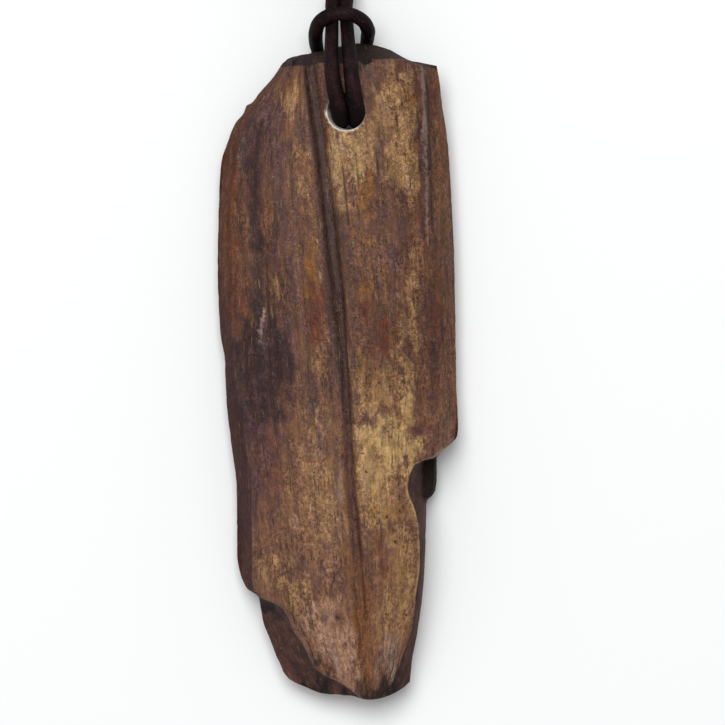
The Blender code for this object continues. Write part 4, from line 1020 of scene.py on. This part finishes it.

# %% Where the layer is broken, where the sides are worn, and the painted highlights on the lip and rim
# The lip of the hole is pale; a painted highlight makes it paler towards the lower left, with a painted
# glint at the left.
LIP_FADE = (0.14, 0.02)                    # how far past the flare the pale lip of the hole fades
LIT_WAY = (0.45, 0.90)                    # it shows most to the left and downwards
LIP_LEAST, LIP_MORE = 0.12, 0.78           # how pale it is elsewhere, and how much more there
LIP_WAY = (0.2, 1.9)                       # millimetres that way between which it grows
GLINT_LEFT, GLINT_LEFT_HALF = 30.7, 0.5      # y of a second pale place at the left, and half its length
CORNER_TOP, RIGHT_BREAK_TOP = -26.4, -9.9  # y below which the lower left and the right are broken
RIGHT_PART = 5                             # x beyond which a place belongs to the right side
BROKEN_FADE, SIDE_FADE = (0.06, -0.10), (0.1, -0.5)    # depths in the layer between which they begin
# Painted shade: the ledge in the notch is made nearly black, as it lies under the wall.
DARK_LEDGE = (10.0, 10.3)                  # x between which the dark ledge of the notch begins
LEDGE_ENDS = (0.3, 1.0)                    # how softly it ends at the top and the tip side
LEDGE_DEPTH = -0.05                        # it lies only outside the layer
# Painted highlight: a thin pale line along the right edge of the layer.
RIM_DEPTH, RIM_HALF_WIDTH = 0.05, 0.09     # of the pale rim along the right edge of the layer
RIM_TOP_FADE, RIM_TIP_FADE = (-8.6, -9.6), (-30, -26)  # y between which it fades at both ends

depth = layer_depth(x, y)
from_flare = np.hypot(x - FLARE[0], y - FLARE[1])
lip = ramp(FLARE_RADIUS + LIP_FADE[0], FLARE_RADIUS + LIP_FADE[1], from_flare)
down_left = (FLARE[0] - x) * LIT_WAY[0] + (FLARE[1] - y) * LIT_WAY[1]
left_glint = np.exp(-((y - GLINT_LEFT) / GLINT_LEFT_HALF) ** 2) * (x < FLARE[0])
pale_lip_and_highlight = lip * np.maximum(LIP_LEAST + LIP_MORE * ramp(*LIP_WAY, down_left), left_glint)
corner = (y < CORNER_TOP) * (x < groove_floor(y))
right_break = (y < RIGHT_BREAK_TOP) * (x > RIGHT_PART)
face = np.clip(corner + right_break + (y > layer_top(x)), 0, 1)
broken = upper * ramp(*BROKEN_FADE, depth) * face * (1 - lip)
side = ramp(*SIDE_FADE, depth) * (1 - face)
by_notch = ramp(NOTCH[0], NOTCH[0] - LEDGE_ENDS[0], y) * ramp(NOTCH[1] - LEDGE_ENDS[1], NOTCH[1], y)
ledge = by_notch * (x > RIGHT_PART) * ramp(*DARK_LEDGE, x) * (depth < LEDGE_DEPTH)
near_edge = np.exp(-((depth - RIM_DEPTH) / RIM_HALF_WIDTH) ** 2)
rim_highlight = near_edge * ramp(*RIM_TOP_FADE, y) * ramp(*RIM_TIP_FADE, y) * (x > RIGHT_PART) * upper
set_attribute(drilled, "edges", np.stack([broken, side, rim_highlight * (1 - ledge)], 1))
print(f"broken: {(broken > 0.5).mean():.0%}, worn sides: {(side > 0.5).mean():.0%} of the points")

# %% Lines, pits, the bruise and the grain
PIT_FADE = (0.22, 0.04)                    # distances between which a pit darkens
BRUISE_FADE = (1.15, 0.85)                 # shares of the bruise's size between which it does

groove_dark = line_marks(x, y, [GROOVE_DARK]) * upper
hair = line_marks(x, y, HAIRLINES) * upper
nearest_pit = np.min([np.hypot(x - pit_x, y - pit_y) for pit_x, pit_y in PITS], axis=0)
pits = ramp(*PIT_FADE, nearest_pit) * upper
bruise = ramp(*BRUISE_FADE, from_bruise(x, y)) * upper
set_attribute(drilled, "lines", np.stack([groove_dark, hair, pits], 1))
set_attribute(drilled, "spots", np.stack([pale_lip_and_highlight, bruise, ledge], 1))
set_attribute(drilled, "ridge", line_marks(x, y, RIDGES) * upper)
set_attribute(drilled, "grain", np.stack([grain_across(x, y), y, z], 1))
print("attributes:", [a.name for a in drilled.attributes if a.domain == "POINT"])

# %% [markdown]
# ## Shader sums
# A material is a sum of patterns, and a sum is easier to read as an expression than as a web of
# nodes. This class holds one socket. Plus, minus and times add Math nodes, in either order, and
# `node` makes any other node from its settings and the values or links of its sockets.

# %% One small class for shader maths
class Shade:
    """A socket of a material, or with no socket the material's own tree."""

    def __init__(self, tree, socket=None):
        self.tree = tree
        self.socket = socket

    def node(self, kind, settings, sockets, out=0):
        """Makes a node: settings first, then its sockets by name or number, and returns one output."""
        made = self.tree.nodes.new(kind)
        for name, value in settings.items():
            setattr(made, name, value)
        for name, value in sockets.items():
            if isinstance(value, Shade):
                self.tree.links.new(value.socket, made.inputs[name])
            else:
                made.inputs[name].default_value = value
        return Shade(self.tree, made.outputs[out])

    def math(self, operation, first, second):
        """A Math node with that operation."""
        return self.node("ShaderNodeMath", {"operation": operation}, {0: first, 1: second})

    def __add__(self, other):
        return self.math("ADD", self, other)

    def __radd__(self, other):
        return self.math("ADD", other, self)

    def __sub__(self, other):
        return self.math("SUBTRACT", self, other)

    def __rsub__(self, other):
        return self.math("SUBTRACT", other, self)

    def __mul__(self, other):
        return self.math("MULTIPLY", self, other)

    def __rmul__(self, other):
        return self.math("MULTIPLY", other, self)

    def __abs__(self):
        return self.math("ABSOLUTE", self, 0.0)

    def larger(self, other):
        """The larger of two numbers."""
        return self.math("MAXIMUM", self, other)

    def step(self, start, end):
        """0 at start and 1 at end, with a smooth change between them."""
        sockets = {"Value": self, "From Min": start, "From Max": end}
        if end < start:
            sockets.update({"From Min": end, "From Max": start, "To Min": 1.0, "To Max": 0.0})
        return self.node("ShaderNodeMapRange", {"interpolation_type": "SMOOTHSTEP"}, sockets)

    def mixed(self, colour, amount, blend="MIX"):
        """This colour with another mixed in by amount, or multiplied in."""
        settings = {"data_type": "RGBA", "blend_type": blend}
        return self.node("ShaderNodeMix", settings, {0: amount, 6: self, 7: colour}, 2)

    def between(self, first, second):
        """The first colour where this number is 0, the second where it is 1, and mixed between."""
        return self.node("ShaderNodeMix", {"data_type": "RGBA"}, {0: self, 6: first, 7: second}, 2)

    def moved(self, offset):
        """A vector with another added to it."""
        return self.node("ShaderNodeVectorMath", {"operation": "ADD"}, {0: self, 1: offset})

    def scaled(self, factors):
        """A vector with each of its parts multiplied by its own factor."""
        return self.node("ShaderNodeVectorMath", {"operation": "MULTIPLY"}, {0: self, 1: factors})

    def noise(self, factors, detail=3.0, roughness=0.55, warp=0.0):
        """Cloudy noise from 0 to 1 on this vector, with that many waves to the unit on each axis."""
        sockets = {
            "Vector": self.scaled(factors), "Scale": 1.0, "Detail": detail,
            "Roughness": roughness, "Distortion": warp}
        return self.node("ShaderNodeTexNoise", {}, sockets)

    def split(self):
        """The three parts of a vector."""
        first = self.node("ShaderNodeSeparateXYZ", {}, {0: self})
        return [Shade(self.tree, output) for output in first.socket.node.outputs]


def chart(red, green, blue):
    """A colour from a 0 to 255 colour chart as the linear light that a shader mixes."""
    c = np.array((red, green, blue)) / 255
    return (*np.where(c < 0.04045, c / 12.92, ((c + 0.055) / 1.055) ** 2.4).tolist(), 1.0)


def new_material(name, pieces):
    """A material with only a Principled shader and its output, set on the pieces."""
    material = bpy.data.materials.new(name)
    material.use_nodes = True
    for piece in pieces:
        piece.data.materials.clear()
        piece.data.materials.append(material)
    return Shade(material.node_tree), material.node_tree.nodes["Principled BSDF"]


def feed(shader, **sockets):
    """Links or sets sockets of the Principled shader; underscores stand for spaces."""
    for name, value in sockets.items():
        socket = shader.inputs[name.replace("_", " ")]
        if isinstance(value, Shade):
            value.tree.links.new(value.socket, socket)
        else:
            socket.default_value = value


print("a middle grey of the chart gives", round(chart(128, 128, 128)[0], 3), "of the light")

# %% [markdown]
# ## Fossil dentine
# The tooth is mineralised dentine, worn smooth and a little glossy. Its grain runs along it: fine
# fibres, short dark pores, and a mottling of purple grey specks. The material starts from a brown,
# mixes in each tone where its mask plus noise passes a threshold, which gives ragged, mottled edges,
# then lays on the darker groove, worn sides with painted shade on the left, broken faces and the
# ledge in the notch, painted nearly black as shade, and at last fibres, pores, specks and cracks,
# with painted highlights: sparkle, glints, light ridges, the lip of the hole and the rim of the
# layer. All patterns follow the grain attribute, so they bend with the tooth.

# %% The tooth's own patterns
bone, bone_shader = new_material("fossil_dentine", [tooth])


def read(name, out="Fac"):
    """An attribute of the tooth, as a number or a vector."""
    return bone.node("ShaderNodeAttribute", {"attribute_name": name}, {}, out)


grain = read("grain", "Vector")
across_grain, along_grain, _ = grain.split()
broad = grain.noise((0.50, 0.12, 0.2), detail=4.0, roughness=0.6, warp=0.4)
patch = grain.noise((0.42, 0.20, 0.3), detail=3.0, roughness=0.6)
mottle = grain.noise((1.3, 0.75, 0.9), detail=6.0, roughness=0.64)
grit = grain.noise((3.0, 2.0, 2.4), detail=3.0, roughness=0.66)
fibre = grain.noise((4.6, 0.50, 1.0), detail=3.0, roughness=0.6)
streak = grain.noise((1.4, 0.06, 0.4), detail=3.0, roughness=0.55)
upper_part = along_grain.step(-14.0, 2.0)  # 0 on the half with the tip, 1 on the drilled half
print("patterns and sums:", len(bone.tree.nodes), "nodes")

# %% Tones mixed over the brown
TONES = [                                  # tone, colour, most that it covers, seed of its edges
    ("tan", chart(142, 107, 70), 0.90, 3.0),
    ("rose", chart(151, 114, 91), 0.90, 5.0),
    ("cream", chart(164, 132, 86), 0.92, 7.0),
    ("gold", chart(120, 76, 27), 0.88, 11.0),
    ("red", chart(89, 43, 22), 0.88, 17.0),
    ("purple", chart(78, 53, 52), 0.90, 23.0),
    ("umber", chart(46, 29, 28), 0.90, 29.0),
    # The pale grey tone also carries painted sheen.
    ("grey_and_sheen", chart(132, 112, 102), 0.70, 37.0),
]
clouds = broad.step(0.36, 0.64)
upper_base = clouds.between(chart(100, 66, 45), chart(78, 50, 39))
lower_base = clouds.between(chart(114, 79, 56), chart(96, 65, 50))
colour = upper_part.between(lower_base, upper_base)
for name, tone, most, seed in TONES:
    edge = grain.moved((seed, seed, 0)).noise((0.95, 0.42, 0.5), detail=5.0, roughness=0.60, warp=0.3)
    ragged = (edge - 0.5) * 1.8 + (grit - 0.5) * 0.45
    colour = colour.mixed(tone, (read(name) + ragged).step(0.20, 0.80) * most)
blotch = grain.noise((0.85, 0.60, 0.6), detail=5.0, roughness=0.66, warp=0.5)
colour = colour.mixed(chart(94, 60, 54), blotch.step(0.53, 0.66) * (0.60 - 0.35 * upper_part))
print("with the tones:", len(bone.tree.nodes), "nodes")

# %% The darker groove, the bruise, the sides and the broken faces, with painted shade and highlight
groove_dark_mark, hair_mark, pit_mark = read("lines", "Vector").split()
lip_and_highlight_mark, bruise_mark, ledge_mark = read("spots", "Vector").split()
broken_mark, side_mark, rim_highlight_mark = read("edges", "Vector").split()
# Darker along the groove, darkest towards the drilled end and a lighter brown at the tip.
ragged_groove_dark = (groove_dark_mark + (mottle - 0.5) * 0.7 + (grit - 0.5) * 0.6).step(0.12, 0.62)
tip_groove_dark = along_grain.step(-20.0, -28.0).between(chart(74, 47, 41), chart(114, 76, 50))
groove_dark_colour = upper_part.between(tip_groove_dark, chart(56, 39, 36))
colour = colour.mixed(groove_dark_colour, ragged_groove_dark * 0.85)
colour = colour.mixed(chart(96, 58, 54), bruise_mark * 0.9)
# Painted shade: the worn sides are much darker on the left than on the right, darkest towards the tip.
shaded_left_edge = along_grain.step(2.0, 14.0).between(chart(57, 28, 28), chart(82, 46, 30))
worn_and_shaded_side = shaded_left_edge.mixed(chart(106, 70, 50), across_grain.step(-3.0, 3.0))
colour = colour.mixed(worn_and_shaded_side, (side_mark + (mottle - 0.5) * 0.9).step(0.1, 1.0) * 0.8)
torn = grain.noise((0.55, 0.45, 0.5), detail=5.0, roughness=0.6, warp=0.6)
fresh_break = torn.step(0.36, 0.64).between(chart(77, 51, 45), chart(47, 32, 31))
end_face = across_grain.step(-1.0, 3.0).between(chart(38, 23, 25), chart(19, 10, 9))
end_face = end_face.mixed(chart(42, 25, 22), across_grain.step(6.0, 9.5))
fresh_break = fresh_break.mixed(end_face, along_grain.step(33.0, 36.0) * 0.85)
broken_amount = broken_mark.step(0.25, 0.75)
colour = colour.mixed(fresh_break, broken_amount * 0.95)
# Painted shade on the notch's ledge.
colour = colour.mixed(chart(31, 22, 15), ledge_mark)
# Near black: stain, with painted shade under the broken edge of the layer and in the pocket at the
# drilled end.
where_black = across_grain.step(-5.0, -4.0).larger(broken_amount)
black = (read("black") * where_black + (mottle - 0.5) * 0.9 + (grit - 0.5) * 1.6).step(0.30, 0.70)
colour = colour.mixed(chart(26, 21, 20), black * 0.92)
# Painted highlight along the rim of the layer.
colour = colour.mixed(chart(190, 160, 116), rim_highlight_mark * (0.3 + 0.6 * mottle))
print("with the breaks:", len(bone.tree.nodes), "nodes")

# %% Grit, fibres and streaks
dark_grit, light_grit = (0.46, 0.38, 0.31, 1), (1.42, 1.52, 1.70, 1)
smooth_zone = read("cream").step(0.3, 0.8)
crowded = patch.step(0.36, 0.62)
grit_amount = (0.30 + 0.50 * crowded) * (1 - 0.6 * broken_amount) * (1 - 0.55 * smooth_zone)
grit_tint = grit.step(0.28, 0.72).between(dark_grit, light_grit)
colour = colour.mixed(grit_tint, grit_amount, "MULTIPLY")
colour = colour.mixed(0.84 + 0.30 * fibre.step(0.3, 0.7), 1.0, "MULTIPLY")
colour = colour.mixed(0.80 + 0.36 * streak.step(0.34, 0.66), 0.6 + 0.4 * upper_part, "MULTIPLY")
colour = colour.mixed(0.72 + 0.56 * mottle.step(0.25, 0.75), 1 - 0.6 * broken_amount, "MULTIPLY")
print("with the grit:", len(bone.tree.nodes), "nodes")

# %% Pores in crooked cells, a cool and warm tint, dark specks with painted sparkle, and short dashes
crooked = grain.moved((mottle - 0.5) * 0.8)
cell_sockets = {"Vector": crooked.scaled((3.6, 1.7, 1.8)), "Scale": 1.0}
cells = grain.node("ShaderNodeTexVoronoi", {}, cell_sockets, "Distance")
chance = Shade(bone.tree, cells.socket.node.outputs["Color"]).split()[0]
crowd = (chance + patch * 0.9).step(0.98, 1.10)
pore = (cells + (chance - 0.5) * 0.14).step(0.27, 0.08) * crowd * (1 - broken_amount)
colour = colour.mixed(chart(50, 27, 18), pore * 0.75)
cool, warm = (0.96, 0.95, 1.03, 1), (1.05, 1.02, 0.86, 1)
tint = grain.noise((1.2, 0.5, 0.8), detail=5.0, roughness=0.7).step(0.36, 0.64)
colour = colour.mixed(tint.between(cool, warm), 1.0, "MULTIPLY")
specks_and_sparkle = grain.noise((7.2, 6.0, 6.0), detail=1.0, roughness=0.6)
specks_and_sparkle_amount = (0.35 + 0.25 * upper_part + 0.4 * crowded) * (1 - 0.5 * smooth_zone)
# Painted highlight: tiny light sparkles as of a glossy surface; the next line adds dark specks.
colour = colour.mixed((1.8, 2.0, 2.3, 1), specks_and_sparkle.step(0.52, 0.78) * specks_and_sparkle_amount, "MULTIPLY")
colour = colour.mixed((0.34, 0.27, 0.21, 1), specks_and_sparkle.step(0.48, 0.24) * specks_and_sparkle_amount, "MULTIPLY")
dashes = grain.noise((5.0, 0.42, 0.8), detail=2.0, roughness=0.5)
colour = colour.mixed(chart(46, 27, 21), dashes.step(0.40, 0.30) * (0.35 + 0.45 * crowded))
colour = colour.mixed(chart(152, 122, 90), dashes.step(0.64, 0.76) * 0.4 * (1 - ledge_mark))
print("with pores and dust:", len(bone.tree.nodes), "nodes")

# %% Light edges with painted highlight, painted glints, cracks, pits and the hole's lip with its highlight
# Painted highlight, with some polish: light lines along the raised edges of laminae.
ridge_mark = (read("ridge") + (grit - 0.5) * 1.6 + (mottle - 0.5) * 1.2).step(0.35, 1.0)
colour = colour.mixed(chart(122, 100, 92), ridge_mark * 0.6)
glint = grain.noise((3.6, 2.9, 2.8), detail=1.0, roughness=0.6).step(0.80, 0.86)
colour = colour.mixed(chart(214, 204, 196), glint * 0.8)
colour = colour.mixed(chart(42, 25, 21), (hair_mark * (0.45 + mottle)).step(0.2, 0.75) * 0.75)
colour = colour.mixed(chart(30, 20, 17), pit_mark.step(0.1, 0.6) * 0.85)
# The hole's pale lip with its painted highlight.
colour = colour.mixed(chart(232, 224, 206), lip_and_highlight_mark * (0.6 + 0.5 * mottle))
print("with the cracks:", len(bone.tree.nodes), "nodes")

# %% Fine bumps and gloss
bump_height = 0.030 * fibre + 0.060 * grit + 0.070 * mottle - 0.08 * pore - 0.04 * hair_mark
bumps = bone.node("ShaderNodeBump", {}, {"Strength": 1.0, "Distance": MM, "Height": bump_height})
dull = side_mark.larger(broken_amount)
feed(bone_shader, Base_Color=colour, Roughness=0.46 + 0.22 * mottle + 0.3 * dull,
     Specular_IOR_Level=0.2, Normal=bumps)
print("nodes in the tooth's material:", len(bone.tree.nodes))

# %% [markdown]
# ## Leather
# The cord is cut from dark brown leather and waxed: nearly black, with a reddish brown where it is
# rubbed and a satin sheen. Its fine creases run round it and its fibres along it, so these read the
# tubes' own UV map, U round the cord and V along it. Its wear and flecks are noise on Object
# coordinates, with 600 and 3600 waves to the metre. Painted shade darkens its flanks, where the
# upward attribute is small, and the stretch that goes down into the hole.

# %% The cord's material
leather, leather_shader = new_material("leather", [cord_loop, cord_left, cord_right, barrel_knot])
route = leather.node("ShaderNodeUVMap", {"uv_map": "route"}, {})
solid = leather.node("ShaderNodeTexCoord", {}, {}, "Object")
fibres = route.noise((9.0, 5.0, 1.0), detail=4.0, roughness=0.6)
creases = route.noise((1.6, 42.0, 1.0), detail=3.0, roughness=0.6)
wear = solid.noise((600.0, 600.0, 600.0), detail=5.0, roughness=0.7)
flecks = solid.noise((3600.0, 3600.0, 3600.0), detail=2.0, roughness=0.6)
hide = (0.5 * wear + 0.5 * fibres).step(0.40, 0.62).between(chart(9, 3, 5), chart(36, 15, 17))
hide = hide.mixed(chart(84, 58, 60), flecks.step(0.56, 0.74) * 0.3)
upward = leather.node("ShaderNodeAttribute", {"attribute_name": "upward"}, {}, "Fac")
flank = 1 - abs(upward)
# Painted shade: the cord's flanks, which face sideways, are made nearly black.
hide = hide.mixed(chart(9, 4, 5), flank.step(0.30, 0.90) * 0.85)
# Painted shade where the strands go down into the hole.
hole_shade = solid.split()[1].step(0.0322, 0.0304)            # y in metres, at the hole
hide = hide.mixed(chart(7, 3, 4), hole_shade * 0.8)
skin = leather.node("ShaderNodeBump", {}, {
    "Strength": 1.0, "Distance": MM, "Height": 0.05 * fibres + 0.05 * creases + 0.02 * wear})
feed(leather_shader, Base_Color=hide, Roughness=0.52 + 0.2 * wear, Specular_IOR_Level=0.09, Normal=skin)
print("nodes in the leather:", len(leather.tree.nodes))

# %% [markdown]
# ## Floor and light
# The tooth lies on a plain pale floor in even, soft light, a little stronger from the upper left, as
# in the open under a bright sky. One large lamp gives the direction and the world fills the rest. A
# small lamp would give hard shadows that hide the low relief.

# %% A pale floor
FLOOR_HALF = 2.0                           # metres
ground = bpy.data.meshes.new("floor")
corners = [(FLOOR_HALF * side_x, FLOOR_HALF * side_y, 0) for side_x, side_y in
           ((-1, -1), (1, -1), (1, 1), (-1, 1))]
ground.from_pydata(corners, [], [(0, 1, 2, 3)])
floor = bpy.data.objects.new("floor", ground)
bpy.context.collection.objects.link(floor)
plaster, plaster_shader = new_material("floor", [floor])
feed(plaster_shader, Base_Color=(0.80, 0.81, 0.81, 1), Roughness=0.9)
print(f"floor: {2 * FLOOR_HALF:.0f} m wide")

# %% Soft light
LAMP_PLACE = (-0.10, 0.32, 0.85)           # metres
LAMP_SIZE = 0.6
LAMP_POWER = 7.5                           # watts
SKY_COLOUR = (0.98, 0.99, 1.0, 1)
SKY_STRENGTH = 0.51

world = bpy.data.worlds.new("sky")
world.use_nodes = True
sky = world.node_tree.nodes["Background"].inputs
sky["Color"].default_value = SKY_COLOUR
sky["Strength"].default_value = SKY_STRENGTH
bpy.context.scene.world = world
lamp = bpy.data.lights.new("lamp", "AREA")
lamp.energy, lamp.size = LAMP_POWER, LAMP_SIZE
lamp_object = bpy.data.objects.new("lamp", lamp)
lamp_object.location = LAMP_PLACE
lamp_object.rotation_euler = (-lamp_object.location).to_track_quat("-Z", "Y").to_euler()
bpy.context.collection.objects.link(lamp_object)
bpy.context.scene.view_settings.view_transform = "Standard"
print(f"lamp: {LAMP_POWER} W over {LAMP_SIZE} m")
